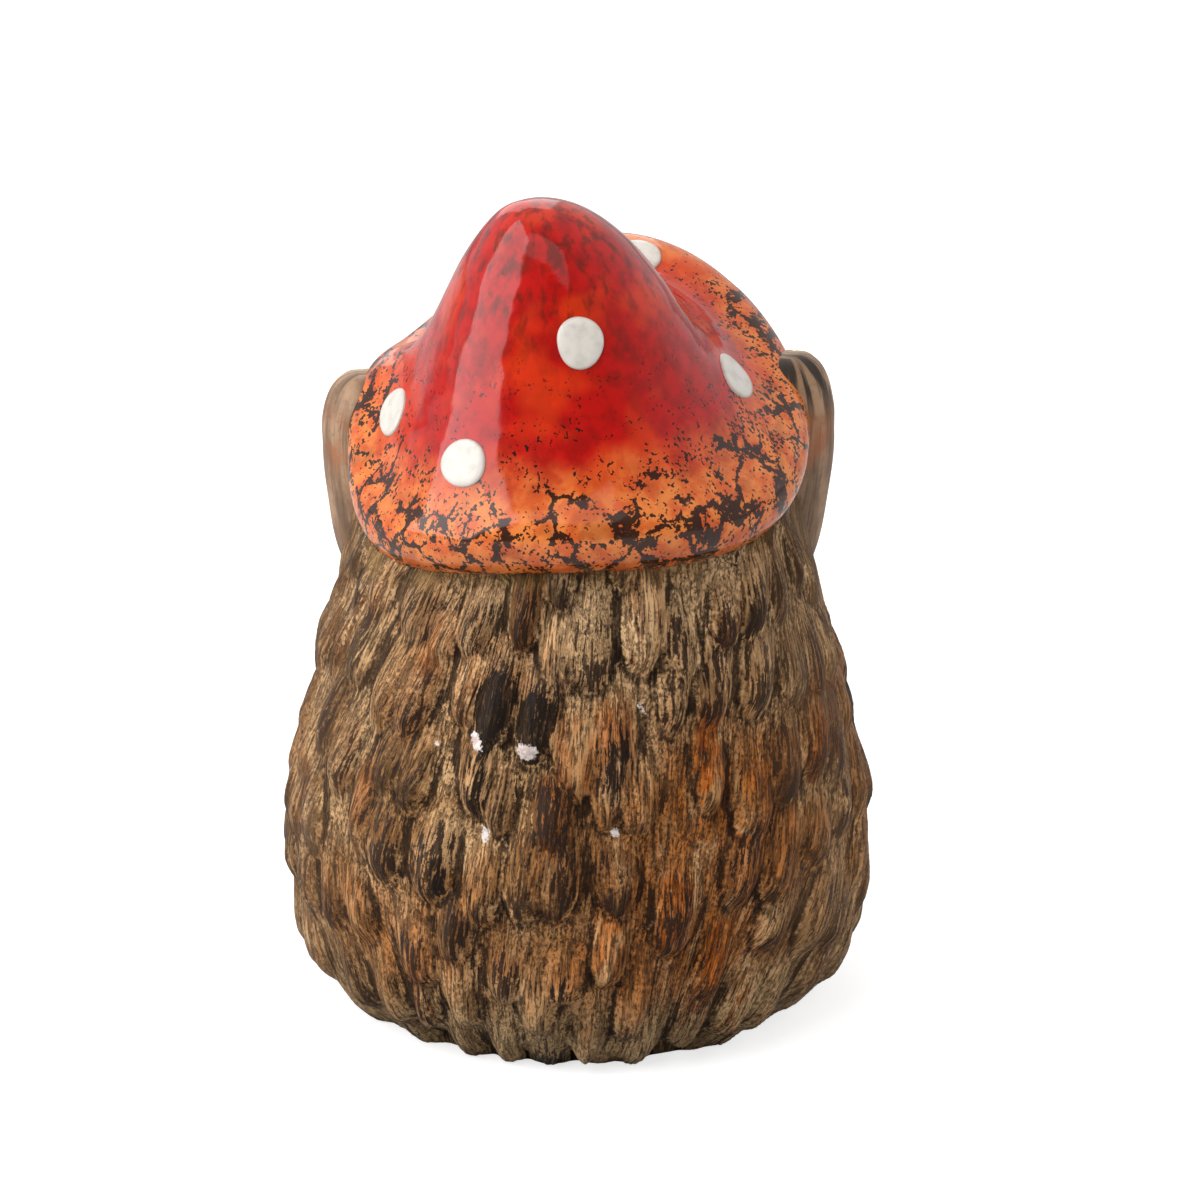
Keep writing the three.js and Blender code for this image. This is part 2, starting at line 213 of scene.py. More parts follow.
# Stage, in metres
CAMERA_AIM = Vector((-0.0044, 0.008, 0.0818))
CAMERA_ELEVATION = math.radians(22)
CAMERA_DISTANCE = 2.4
FRAME_HEIGHT = 0.24  # what the picture takes in at the aim
SENSOR = 36  # millimetres
LAMP_AIM = Vector((0, 0.008, 0.1))
FLOOR_HALF_WIDTH = 3.0
FLOOR_DROP = 0.0002


# Numbers


def ease(value, low, high):
    """0 below low, 1 above high and smooth between them."""
    share = np.clip((value - low) / (high - low), 0, 1)
    return share * share * (3 - 2 * share)


def spline(points, along):
    """Points on the smooth curve through a list of points, with along counted in points."""
    points = np.asarray(points, float)
    last = len(points) - 1
    first = np.clip(np.floor(along).astype(int), 0, last - 1)
    share = (along - first)[..., None]
    before, here = points[np.maximum(first - 1, 0)], points[first]
    after, beyond = points[first + 1], points[np.minimum(first + 2, last)]
    leave, arrive = (after - before) / 2, (beyond - here) / 2
    cubic = 2 * here - 2 * after + leave + arrive
    square = 3 * after - 3 * here - 2 * leave - arrive
    return cubic * share**3 + square * share**2 + leave * share + here


def lattice(cells, seed):
    """A repeatable number from 0 to 1 for each whole-numbered cell of a grid."""
    mixed = cells @ np.array([374761393, 668265263, 1440662683]) + seed * 1274126177
    mixed = mixed & 0xFFFFFFFF
    mixed = ((mixed ^ (mixed >> 13)) * 1274126177) & 0xFFFFFFFF
    return ((mixed ^ (mixed >> 16)) & 0xFFFF) / 65535.0


def lumps(points, size, seed):
    """Smooth noise from -1 to 1, in lumps about size across."""
    scaled = points / size
    corner = np.floor(scaled).astype(np.int64)
    share = scaled - corner
    share = share * share * (3 - 2 * share)
    total = 0.0
    for offset in np.ndindex(2, 2, 2):
        weight = np.prod(np.where(np.array(offset) == 1, share, 1 - share), axis=-1)
        total = total + weight * lattice(corner + np.array(offset), seed)
    return 2 * total - 1


def turned(angle):
    """Degrees brought into the range from -180 to 180."""
    return (angle + 180) % 360 - 180


def bells(value, width, places=(0,)):
    """1 where a value is at one of some places, falling off smoothly over a width."""
    return sum(np.exp(-(((value - place) / width) ** 2)) for place in places)


def full_turn(count):
    return np.linspace(0, 2 * math.pi, count, endpoint=False)


def stacked(*parts):
    """Vectors from their parts. A part may be one number for all of them."""
    return np.stack(np.broadcast_arrays(*parts), -1)


def mirrored(point, side):
    return np.array(point) * (side, 1, 1)


def size_of(vectors):
    return np.linalg.norm(vectors, axis=-1)


def unit(vectors):
    return vectors / np.maximum(size_of(vectors)[..., None], 1e-9)


def running_total(steps):
    return np.concatenate([[0], np.cumsum(steps)])


def looked_up(where, known, table):
    """Rows of a table at places between its known ones."""
    return np.stack([np.interp(where, known, column) for column in table.T], -1)


def grid_normals(points):
    """Outward directions of a grid whose rows run down and whose columns close round the figure."""
    down = np.gradient(points, axis=0)
    onward = np.roll(points, -1, axis=1) - np.roll(points, 1, axis=1)
    return unit(np.cross(down, onward))


# Pieces

Skin = namedtuple("Skin", "rings top bottom masks")


def inside_out(points, faces):
    """Whether four-cornered faces look into the solid that they go round."""
    corners = points[np.array(faces)] - points.mean(axis=0)
    first = np.cross(corners[:, 0], corners[:, 1]) * corners[:, 2]
    second = np.cross(corners[:, 0], corners[:, 2]) * corners[:, 3]
    return first.sum() + second.sum() < 0


def skin_faces(rows, columns):
    """Faces of rings between two poles, which come first in the points: walls, and fans at the poles."""
    index = 2 + np.arange(rows * columns).reshape(rows, columns)
    beside = np.roll(index, -1, axis=1)
    walls = np.stack([index[:-1], index[1:], beside[1:], beside[:-1]], -1).reshape(-1, 4).tolist()
    top = [(0, a, b) for a, b in zip(index[0].tolist(), beside[0].tolist())]
    bottom = [(1, b, a) for a, b in zip(index[-1].tolist(), beside[-1].tolist())]
    return walls, top + bottom


def with_poles(values):
    """A mask on the rings, with values for the two poles put before it."""
    ends = np.stack([values[0].mean(axis=0), values[-1].mean(axis=0)])
    return np.concatenate([ends, values.reshape(-1, *values.shape[2:])])


def skin_uv(skin):
    """Places in a flat square for each face corner, in the order of skin_faces."""
    columns = skin.rings.shape[1]
    level = running_total(size_of(np.diff(skin.rings, axis=0)).mean(axis=1))
    level = 0.02 + 0.96 * level / level[-1]
    left = np.arange(columns) / columns
    middle, right = left + 0.5 / columns, left + 1 / columns
    high, low = level[:-1, None], level[1:, None]
    walls = stacked(stacked(left, left, right, right), stacked(high, low, low, high))
    top = stacked(stacked(middle, left, right), (0, level[0], level[0]))
    bottom = stacked(stacked(middle, right, left), (1, level[-1], level[-1]))
    return np.concatenate([part.reshape(-1, 2) for part in (walls, top, bottom)])


def add_object(name, data):
    made = bpy.data.objects.new(name, data)
    bpy.context.scene.collection.objects.link(made)
    return made


def make_piece(name, skin, node, material, bake_grid=False):
    """Makes a skin into a mesh object that stands for a CAD node and rides on the body."""
    points = np.concatenate([[skin.top], [skin.bottom], skin.rings.reshape(-1, 3)])
    walls, fans = skin_faces(*skin.rings.shape[:2])
    faces = walls + fans
    if inside_out(points, walls):
        faces = [face[::-1] for face in faces]
    placed = (points + (0, SHIFT_Y, 0)) * MM
    placed[:, 2] = np.maximum(placed[:, 2], 0)
    mesh = bpy.data.meshes.new(name)
    mesh.from_pydata(placed.tolist(), [], faces)
    mesh.polygons.foreach_set("use_smooth", [True] * len(mesh.polygons))
    for key, mask in skin.masks.items():
        values = with_poles(mask)
        kind, socket = ("FLOAT", "value") if values.ndim == 1 else ("FLOAT_VECTOR", "vector")
        mesh.attributes.new(key, kind, "POINT").data.foreach_set(socket, values.astype(np.float32).ravel())
    if bake_grid:
        layer = mesh.uv_layers.new(name="OFBake")
        layer.data.foreach_set("uv", skin_uv(skin).astype(np.float32).ravel())
    mesh.materials.append(material)
    piece = add_object(name, mesh)
    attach(piece, BODY)
    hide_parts(node)
    return piece


# Limb and face shapes


def limb_line(path, count):
    """Even samples along a path, and the direction of travel at each."""
    dense = spline(path, np.linspace(0, len(path) - 1, PATH_STEPS))
    travelled = running_total(size_of(np.diff(dense, axis=0)))
    line = looked_up(np.linspace(0, travelled[-1], count), travelled, dense)
    return line, unit(np.gradient(line, axis=0))


def round_ended(along, sharpness):
    return np.sqrt(np.maximum(1 - np.abs(2 * along - 1) ** sharpness, 0))


def arm_path(side):
    rise = RIGHT_ARM_RISE if side < 0 else 0.0
    last = len(ARM_PATH) - 1
    return [(side * x, y, z + rise * i / last) for i, (x, y, z) in enumerate(ARM_PATH)]


def arm_girth(along):
    return ARM_GIRTH * (1 - 0.15 * along) * round_ended(along, 8)


def muzzle_girth(along):
    return MUZZLE_GIRTH * (1 - 0.66 * along**0.75) * round_ended(along, 14)


def clearance(points, path, girth):
    """Distance of points from the surface of a limb, negative inside it."""
    line = limb_line(path, LIMB_CHECKS)[0]
    shares = np.linspace(0, 1, LIMB_CHECKS)
    return np.min([size_of(points - centre) - girth(share) for centre, share in zip(line, shares)], axis=0)


# Body


def body_outline():
    """Outline of the body at close steps, and how far up the surface each step is."""
    outline = spline(BODY_STATIONS, np.linspace(0, len(BODY_STATIONS) - 1, OUTLINE_STEPS))
    return outline, running_total(np.hypot(np.diff(outline[:, 0]), np.diff(outline[:, 1])))


OUTLINE, OUTLINE_CLIMB = body_outline()


def climb_at(height):
    return np.interp(height, OUTLINE[:, 0], OUTLINE_CLIMB)


def outline_at(climb):
    """Height, half width, depth behind and depth in front at distances up the surface."""
    return looked_up(climb, OUTLINE_CLIMB, OUTLINE)


def body_columns():
    front = np.linspace(0, FRONT_SPAN, FRONT_COLUMNS, endpoint=False)
    back = np.linspace(FRONT_SPAN, 360 - FRONT_SPAN, BACK_COLUMNS, endpoint=False)
    return turned(np.concatenate([front, back, 360 - FRONT_SPAN + front]) - 90)


def body_climbs():
    top = climb_at(COAT_ROWS_TOP)
    head = np.linspace(OUTLINE_CLIMB[-1], top, HEAD_ROWS + 1)[1:-1]
    return np.concatenate([head, np.linspace(top, 0, COAT_ROWS)])


def from_front(turn):
    return np.abs(turned(turn + 90))


def coat_edge(height):
    """Degrees from the front where the coat begins: it closes over the face like a hood."""
    rise = np.clip((height - FACE_LOW) / (FACE_TOP - FACE_LOW), 0, 1)
    return COAT_EDGE * np.sqrt(1 - rise**2)


def on_body(turn, shape, grow=0.0):
    """Points on the smooth body for turns in degrees and rows of outline_at."""
    angle = np.radians(turn)
    depth = np.where(np.sin(angle) > 0, shape[..., 2], shape[..., 3])
    x = (shape[..., 1] + grow) * np.cos(angle)
    y = (depth + grow) * np.sin(angle)
    return stacked(x, y, shape[..., 0])


Tuft = namedtuple("Tuft", "turn climb length width lift lean blunt dark rust tip tone")


def lean_at(turn, height):
    """Degrees that strokes lean: down and to the figure's left, but to its right low on its left."""
    side = turned(turn - 90)
    low = ease(height, 60, 10)
    right = ease(side, 8, 50) * (16 + 13 * low)
    left = ease(-side, 8, 50) * (9 * ease(height, 35, 75) - 20 * low)
    return 4 + (right + left) * (1 - ease(abs(side), 95, 125))


def rust_at(turn, height):
    total = 0.0
    for centre, level, radius, strength in RUST:
        across = np.radians(turned(turn - centre)) * RUST_RADIUS
        total = total + strength * np.exp(-(across**2 + (height - level) ** 2) / radius**2)
    return np.clip(total, 0, 1)


def make_tuft(row, column):
    """A tuft of the coat, unlike its neighbours, or nothing if it would lie on the face or belly."""
    shift = rng.normal(0, TUFT_SPREADS)
    paint = rng.random(5)
    climb = FIRST_TIP + row * TUFT_PITCH + shift[1]
    height, half_width = outline_at(max(climb, 0.5))[:2]
    turn = turned((column + row * 0.5 + shift[0]) * 360 / TUFTS_AROUND)
    if from_front(turn) < coat_edge(height) + 3:
        return None
    spacing = 2 * math.pi * half_width / TUFTS_AROUND
    side = ease(abs(turned(turn - 90)), 25, 65)
    rusty = float(rust_at(turn, height + 8)) * (0.45 + 0.55 * paint[1])
    return Tuft(
        turn=turn,
        climb=climb,
        length=25 + 4 * side + shift[2],
        width=spacing * (0.47 + 0.03 * side + shift[3]),
        lift=4.2 - 1.6 * side + shift[4],
        lean=lean_at(turn, height) + shift[5],
        blunt=0.15 + 0.1 * side,
        dark=0.3 * paint[0] + 0.6 * (paint[0] > 0.52),
        rust=rusty + 0.6 * (paint[1] > 0.75),
        tip=(0.4 + 0.5 * paint[3]) * (paint[2] > 0.78),
        tone=paint[4],
    )


def make_tufts():
    """The coat's tufts, row by row from the base, with the black ones put in their places."""
    rows = int((climb_at(COAT_CEILING) - FIRST_TIP) / TUFT_PITCH) + 1
    grid = [make_tuft(row, column) for row in range(rows) for column in range(TUFTS_AROUND)]
    tufts = [tuft for tuft in grid if tuft]
    for turn, height in BLACK_TUFTS:
        climb = float(climb_at(height))
        sideways = [math.radians(turned(tuft.turn - turn)) * STROKE_RADIUS for tuft in tufts]
        gaps = [math.hypot(gap, tuft.climb - climb) for gap, tuft in zip(sideways, tufts)]
        nearest = int(np.argmin(gaps))
        tufts[nearest] = tufts[nearest]._replace(turn=turn, climb=climb, **BLACK_PAINT)
    return tufts


def stroke_grid(turns, climbs, heights):
    """Distance across and along the strokes on the body, with the joins at the belly's edges."""
    behind = turned(turns - 90)
    order = np.argsort(behind)
    sideways = np.radians(behind[order]) * STROKE_RADIUS
    across = np.repeat(sideways[None], len(climbs), 0)
    middle = len(climbs) // 2
    lower = [(row, row - 1) for row in range(middle + 1, len(climbs))]
    upper = [(row, row + 1) for row in range(middle - 1, -1, -1)]
    for row, last in lower + upper:
        slope = np.tan(np.radians(lean_at(behind[order] + 90, heights[row])))
        start = sideways - slope * (climbs[row] - climbs[last])
        beyond = start - np.clip(start, sideways[0], sideways[-1])
        across[row] = np.interp(start, sideways, across[last]) + beyond
    across = across[:, np.argsort(order)]
    belly = np.radians(turned(turns + 90)) * STROKE_RADIUS
    across = np.where(from_front(turns) > COAT_EDGE, across, belly)
    along = np.repeat((climbs - climbs.mean())[:, None], len(turns), 1)
    return across, along


def tuft_fields(tuft, turns, climbs, half_widths):
    """Where a tuft lies on the grid, and its rise, the bend of its strokes, and its paint and painted shade
    there.
    """
    rows = np.nonzero((climbs > tuft.climb - 3) & (climbs < tuft.climb + tuft.length + 2))[0]
    cos, sin = math.cos(math.radians(tuft.lean)), math.sin(math.radians(tuft.lean))
    room = tuft.width + tuft.length * abs(sin) + 2
    offset = np.radians(turned(turns - tuft.turn))
    columns = np.nonzero(np.abs(offset) * half_widths[rows].min() < room)[0]
    sideways = offset[columns][None] * half_widths[rows][:, None]
    upward = (climbs[rows] - tuft.climb)[:, None]
    along = (sideways * sin + upward * cos) / tuft.length
    across = sideways * cos - upward * sin
    share = np.clip(along, 1e-3, 1)
    tongue = np.where(
        share < TUFT_END,
        np.sqrt(1 - (1 - np.minimum(share / TUFT_END, 1)) ** 2),
        1 - 0.4 * ((share - TUFT_END) / (1 - TUFT_END)) ** 2,
    )
    slack = across / np.maximum(tuft.width * tongue, 0.05)
    within = (along > 0) * (along < 1)
    dome = np.clip(1 - slack**2, 0, 1) * within
    beside = np.clip(1 - (0.7 * slack) ** 2, 0, 1) * within
    # The patch round the tip, off the tuft, where its painted shadow falls.
    shade = 1 - (across / (1.15 * tuft.width)) ** 2 - np.clip((0.25 - along) / 0.33, 0, 2) ** 2
    rise = tuft.lift * (ease(share, -0.05, tuft.blunt) * ease(share, 1.0, 0.15)) * dome
    bend = across * (1 / np.maximum(tongue, 0.6) - 1) * dome
    paint = {
        "dark": tuft.dark * dome * ease(share, 0.85, 0.5),
        "rust": tuft.rust * dome * ease(share, 1.0, 0.6),
        "tip": tuft.tip * dome * ease(share, 0.7, 0.3),
        "cover": ease(dome, 0, 0.4) * ease(share, 0.95, 0.5),
        # Dark paint on the tuft's lower end, together with painted shade there.
        "end": np.sqrt(dome) * ease(share, 0.6, 0.1) * (0.4 + 0.6 * tuft.tone),
        # Dark paint and painted shade in the gap beside the tuft.
        "gap_paint_and_shade": ease(beside, 0, 0.4) * ease(share, 0.9, 0.4),
        # Painted shadow just below the tuft's tip.
        "under": ease(shade, 0, 0.35) * ease(dome, 0.1, 0) * ease(along, 0.5, 0.25),
    }
    return np.ix_(rows, columns), rise, bend, paint


def coat_fields(turns, climbs, shape):
    """Height of the tufts over the clay between them, and the masks for their strokes, their paint and the
    shade painted between and below them.
    """
    across, along = stroke_grid(turns, climbs, shape[:, 0])
    piled, bend, best = (np.zeros(across.shape) for _ in range(3))
    masks = {name: np.zeros(across.shape) for name in COAT_MASKS}
    for tuft in make_tufts():
        window, rise, bent, paint = tuft_fields(tuft, turns, climbs, shape[:, 1])
        piled[window] += rise**UNION_POWER
        bend[window] += bent
        masks["tone"][window] = np.where(rise > best[window], tuft.tone, masks["tone"][window])
        best[window] = np.maximum(best[window], rise)
        for name, value in paint.items():
            masks[name][window] = np.maximum(masks[name][window], value)
    height = softened(piled ** (1 / UNION_POWER), 2, 4)
    # Low clay between the tufts, which gets painted shade and a rougher surface.
    masks["recess"] = 1 - ease(height, 0.2, 1.8)
    # The gaps get their dark paint and painted shade only where no tuft covers them.
    masks["gap_paint_and_shade"] = masks["gap_paint_and_shade"] * (1 - masks["cover"])
    # The painted shadow below the tips stays where the relief is low.
    masks["under"] = masks["under"] * ease(height, 3.0, 1.5)
    masks = {name: softened(mask, 1, 2) for name, mask in masks.items()}
    masks["fur"] = stacked(across + softened(bend, 4, 4), along, 4 * masks["tone"])
    return height, masks


def softened(values, row_passes, column_passes):
    """A grid of values with its edges rounded off, row by row and round the figure."""
    for _ in range(row_passes):
        padded = np.concatenate([values[:1], values, values[-1:]])
        values = (padded[:-2] + 2 * values + padded[2:]) / 4
    for _ in range(column_passes):
        values = (np.roll(values, 1, axis=1) + 2 * values + np.roll(values, -1, axis=1)) / 4
    return values


def comb_lines(fur, points):
    """Grooves that a comb leaves along the tufts."""
    phase = fur[..., 0] / COMB_PITCH + 0.5 * lumps(points, 5.0, 3)
    return COMB_DEPTH * np.cos(2 * math.pi * phase)


def brim_line():
    """Points along the lip's outer edge."""
    return brim_points(full_turn(BRIM_CHECKS)) + (0, 0, LIP_RADIUS / 2)


def body_relief(turns, climbs, shape):
    """Outside of the body with its coat, belly and face modelled, and its masks."""
    sides = SIDES.values()
    turn_grid = np.repeat(turns[None], len(climbs), 0)
    smooth = on_body(turn_grid, shape[:, None, :])
    heights = smooth[..., 2]
    relief, masks = coat_fields(turns, climbs, shape)
    arms = np.min([clearance(smooth, arm_path(side), arm_girth) for side in sides], axis=0)
    ears = np.min([size_of(smooth - mirrored(EAR_CENTRE, side)) for side in sides], axis=0)
    muzzle = clearance(smooth, MUZZLE_PATH, muzzle_girth)
    beyond = from_front(turn_grid) - coat_edge(heights)
    coat = ease(beyond + 3 * lumps(smooth, 9.0, 12), -3, 4)
    tufted = np.maximum(coat, ease(relief, 0.1, 0.7))
    relief = relief * (0.15 + 0.85 * ease(arms, 0, 14)) * ease(ears, 8, 15)
    relief = relief + comb_lines(masks["fur"], smooth) * ease(relief, 0.3, 1.0)
    belly = 0.22 * lumps(masks["fur"] * (4.5, 1, 0), 9.0, 8) + 0.25 * lumps(smooth, 14.0, 9)
    grain = 0.07 * lumps(smooth, 1.3, 4) + 0.2 * lumps(smooth, 7.0, 5)
    flank = ease(np.abs(turned(turn_grid - 90)), 34, 70)
    inset = COAT_INSET * (1 - 0.5 * flank) * coat
    lift = np.where(coat > 0, relief - inset + grain, 0) + belly * (1 - tufted)
    lift = lift + 2.2 * ease(arms, 9, 0) * ease(ears, 8, 16) + 2.2 * ease(muzzle, 9, 0) * (1 - coat)
    socket = np.zeros_like(lift)
    for side in sides:
        gap = size_of(smooth - mirrored(EYE_CENTRE, side))
        lift = lift + 1.5 * bells(gap, 1.3, [5.4])
        socket = np.maximum(socket, ease(gap, 7.5, 4.8))
        cheek = size_of((smooth - mirrored(CHEEK_CENTRE, side)) / CHEEK_HALF_SIZE)
        lift = lift + 1.6 * ease(cheek, 1.0, 0.0) * (1 - tufted)
    masks.update(
        skin=1 - tufted,
        socket=socket,
        plain=ease(arms, 16, 2),
        flank=flank,
        bleed=ease(nearest_gap(smooth, brim_line()), 9.0, 4.0),
        high=ease(heights, 62, 96),
        base=ease(heights, 26, 7),
        glow=rust_at(turn_grid, heights),
        chip=chip_field(turn_grid, climbs, shape[:, 1]),
    )
    return smooth + grid_normals(smooth) * lift[..., None], masks


def nearest_gap(points, line):
    """Distance of each point from the nearest point of a line."""
    flat = points.reshape(-1, 3)
    gaps = np.full(len(flat), 1e9)
    for spot in line:
        gaps = np.minimum(gaps, ((flat - spot) ** 2).sum(axis=1))
    return np.sqrt(gaps).reshape(points.shape[:-1])


def chip_field(turn_grid, climbs, half_widths):
    """Distance from the edge of the nearest chip, negative inside it."""
    field = np.full(turn_grid.shape, 9.0)
    for turn, height, half_width, half_height, lean in CHIPS:
        sideways = np.radians(turned(turn_grid - turn)) * half_widths[:, None]
        upward = (climbs - climb_at(height))[:, None]
        cos, sin = math.cos(math.radians(lean)), math.sin(math.radians(lean))
        across = (sideways * cos - upward * sin) / half_width
        along = (sideways * sin + upward * cos) / half_height
        field = np.minimum(field, (np.hypot(across, along) - 1) * min(half_width, half_height))
    return field


def make_body(material):
    """Body with its pour hole and hollow, as one closed skin from the crown to the inside's top."""
    turns = body_columns()
    climbs = body_climbs()
    outside, masks = body_relief(turns, climbs, outline_at(climbs))
    outside[-1, :, 2] = 0
    angle = np.radians(turns)
    rim = stacked(np.cos(angle), np.sin(angle), 0) * POUR_HOLE_RADIUS
    underside = np.stack([(outside[-1] + rim) / 2, rim, rim + (0, 0, WALL)])
    inner = outline_at(np.linspace(0, OUTLINE_CLIMB[-1], INSIDE_ROWS + 1)[:-1])
    inner[:, 0] = WALL + inner[:, 0] * (1 - 2 * WALL / CROWN)
    inner[:, 1:] = np.maximum(inner[:, 1:] - WALL, 1.0)
    rings = np.concatenate([outside, underside, on_body(turns, inner[:, None, :])])
    added = len(rings) - len(outside)
    masks = {name: np.concatenate([mask, np.repeat(mask[-1:], added, 0)]) for name, mask in masks.items()}
    skin = Skin(rings, (0, 0, CROWN), (0, 0, CROWN - WALL), masks)
    make_piece("body", skin, "body_shell", material, bake_grid=True)


# Toadstool cap


def brim_points(turns):
    from_paw = (turns - PAW_TURN + math.pi) % (2 * math.pi) - math.pi
    height = (
        BRIM_MEAN_HEIGHT
        + PAW_LIFT * bells(from_paw, PAW_SPREAD)
        + BRIM_TWIST * np.sin(2 * turns)
        - BRIM_TILT_LEFT * np.cos(turns)
        - BRIM_TILT_BACK * np.sin(turns)
        - BRIM_SIDE_DROOP * np.cos(2 * turns)
    )
    return stacked(BRIM_HALF_WIDTH * np.cos(turns), BRIM_HALF_DEPTH * np.sin(turns), height)


def cap_rings(turns, flank_shares, lip_shares):
    """The cap's outside: over the flank and round the lip."""
    brim = brim_points(turns)
    spread = brim[:, :2] - CAP_PEAK[:2]
    reach = np.hypot(*spread.T)
    ahead = (1 - np.sin(turns)) / 2
    start = np.arctan2(reach, CAP_PEAK[2] - brim[:, 2]) + CAP_FLARE + CAP_FLARE_FRONT * ahead**2
    centre = stacked(reach - LIP_RADIUS, brim[:, 2] + LIP_RADIUS)
    end = centre + LIP_RADIUS * stacked(np.cos(start), np.sin(start))
    tip = np.array([0, CAP_PEAK[2]])
    near_tip = stacked(CAP_TIP_ROUNDING * end[:, 0], CAP_PEAK[2])
    pull = CAP_FLANK_PULL * size_of(end - tip)[:, None]
    near_lip = end + pull * stacked(-np.sin(start), np.cos(start))
    s = flank_shares[:, None, None]
    flank = (1 - s) ** 3 * tip + 3 * (1 - s) ** 2 * s * near_tip + 3 * (1 - s) * s**2 * near_lip + s**3 * end
    angle = start + (-math.pi / 2 - start) * lip_shares[:, None]
    lip = centre + LIP_RADIUS * stacked(np.cos(angle), np.sin(angle))
    section = np.concatenate([flank, lip])
    flat = CAP_PEAK[:2] + spread * (section[..., :1] / reach[:, None])
    return np.concatenate([flat, section[..., 1:]], -1)


def cap_point(turn, share):
    """A point of the cap, on the flank up to a share of 1 and on the lip from 1 to 1.5."""
    flank = np.array([min(share, 1.0)])
    lip = np.array([2 * (share - 1)] if share > 1 else [])
    return cap_rings(np.array([math.radians(turn)]), flank, lip)[-1, 0]


def cap_socket(lip_edge):
    """Rings from the lip's underside up over the head, just inside the head's surface."""
    x, y, z = lip_edge.T
    rings = []
    for step in np.linspace(0, 1, CAP_SOCKET_ROWS, endpoint=False):
        height = z + 1.5 + (CROWN - 1 - z) * step
        shape = outline_at(climb_at(np.minimum(height, CROWN - 0.4)))
        depth = np.where(y > 0, shape[:, 2], shape[:, 3])
        turn = np.arctan2(y / depth, x / shape[:, 1])
        rings.append(on_body(np.degrees(turn), shape, -0.6))
    return np.array(rings)


def make_cap(material):
    turns = full_turn(CAP_COLUMNS)
    flank, lip = (np.linspace(0, 1, rows + 1)[1:] for rows in (CAP_FLANK_ROWS, CAP_LIP_ROWS))
    outside = cap_rings(turns, flank, lip)
    from_peak = np.concatenate([np.broadcast_to(CAP_PEAK, (1, CAP_COLUMNS, 3)), outside])
    down = np.cumsum(size_of(np.diff(from_peak, axis=0)), axis=0)
    uneven = 0.55 * lumps(outside, 21.0, 20) + 0.12 * lumps(outside, 6.0, 21)
    uneven = np.minimum(uneven, 0.1) * ease(down, 3, 20)
    outside = outside + grid_normals(outside) * uneven[..., None]
    socket = cap_socket(outside[-1])
    rings = np.concatenate([outside, socket])
    side = np.abs(np.cos(turns)) - 2.0 * ease(-np.sin(turns), 0.45, 0.95)
    masks = {
        "down": np.concatenate([down / down[-1], np.ones(socket.shape[:2])]),
        "side": np.repeat(side[None], len(rings), 0),
    }
    skin = Skin(rings, CAP_PEAK, (0, 0, CROWN - 1), masks)
    return make_piece("cap", skin, "mushroom_cap", material, bake_grid=True)


def surface_of(piece):
    """The surface of a piece, for projecting onto it, in the figure's millimetres."""
    points = [Vector(v.co) / MM - Vector((0, SHIFT_Y, 0)) for v in piece.data.vertices]
    return BVHTree.FromPolygons(points, [tuple(p.vertices) for p in piece.data.polygons])


def make_spot(number, spot, surface, material):
    """A brushed blob of enamel that follows the cap, thick in the middle and with a round edge."""
    turn, share, radius, stretch = spot
    centre = Vector(cap_point(turn, share))
    sideways = (Vector(cap_point(turn + 0.5, share)) - centre).normalized()
    downhill = (Vector(cap_point(turn, share + 0.01)) - centre).normalized()
    normal = downhill.cross(sideways).normalized()
    downhill = sideways.cross(normal)
    angles = full_turn(SPOT_COLUMNS)
    edge = 1 - 0.06 * np.cos(2 * angles) + 0.03 * np.sin(3 * angles + 2.4 * number)
    rises = SPOT_RISE * np.sqrt(np.maximum(1 - SPOT_SHARES**6, 0))
    rises[-1] = -SPOT_SINK
    rings = np.zeros((len(SPOT_SHARES), SPOT_COLUMNS, 3))
    for row, column in np.ndindex(*rings.shape[:2]):
        way = sideways * (stretch * math.cos(angles[column])) + downhill * math.sin(angles[column])
        flat = centre + way * float(radius * SPOT_SHARES[row] * edge[column])
        hit, face_normal, _, _ = surface.ray_cast(flat + normal * SPOT_REACH, -normal)
        rings[row, column] = (hit or flat) + (face_normal or normal) * float(rises[row])
    hit = surface.ray_cast(centre + normal * SPOT_REACH, -normal)[0]
    masks = {"middle": np.repeat(1 - SPOT_SHARES[:, None], SPOT_COLUMNS, 1)}
    skin = Skin(rings, hit + normal * SPOT_RISE, hit - normal * SPOT_SINK, masks)
    make_piece(f"spot_{number}", skin, f"cap_spot_{number}", material)


# Limbs and face


def limb_skin(path, girth, grid, outward, shape):
    """A limb along a path. outward is the direction of turn 0 round it, and shape grows it."""
    rows, columns = grid
    line, heading = limb_line(path, rows + 2)
    side = unit(outward - (heading @ outward)[:, None] * heading)[1:-1, None]
    other = np.cross(heading[1:-1, None], side)
    turn, along = np.meshgrid(full_turn(columns), np.linspace(0, 1, rows + 2)[1:-1])
    radius = np.maximum(girth(along), 0.2)
    radius = radius + shape(turn, along, radius)
    rings = line[1:-1, None] + (radius * np.cos(turn))[..., None] * side
    rings = rings + (radius * np.sin(turn))[..., None] * other
    length = size_of(np.diff(line, axis=0)).sum()
    fur = stacked(np.radians(turned(np.degrees(turn))) * LIMB_STROKE_RADIUS, along * length, 0)
    return rings, line, fur, turn, along


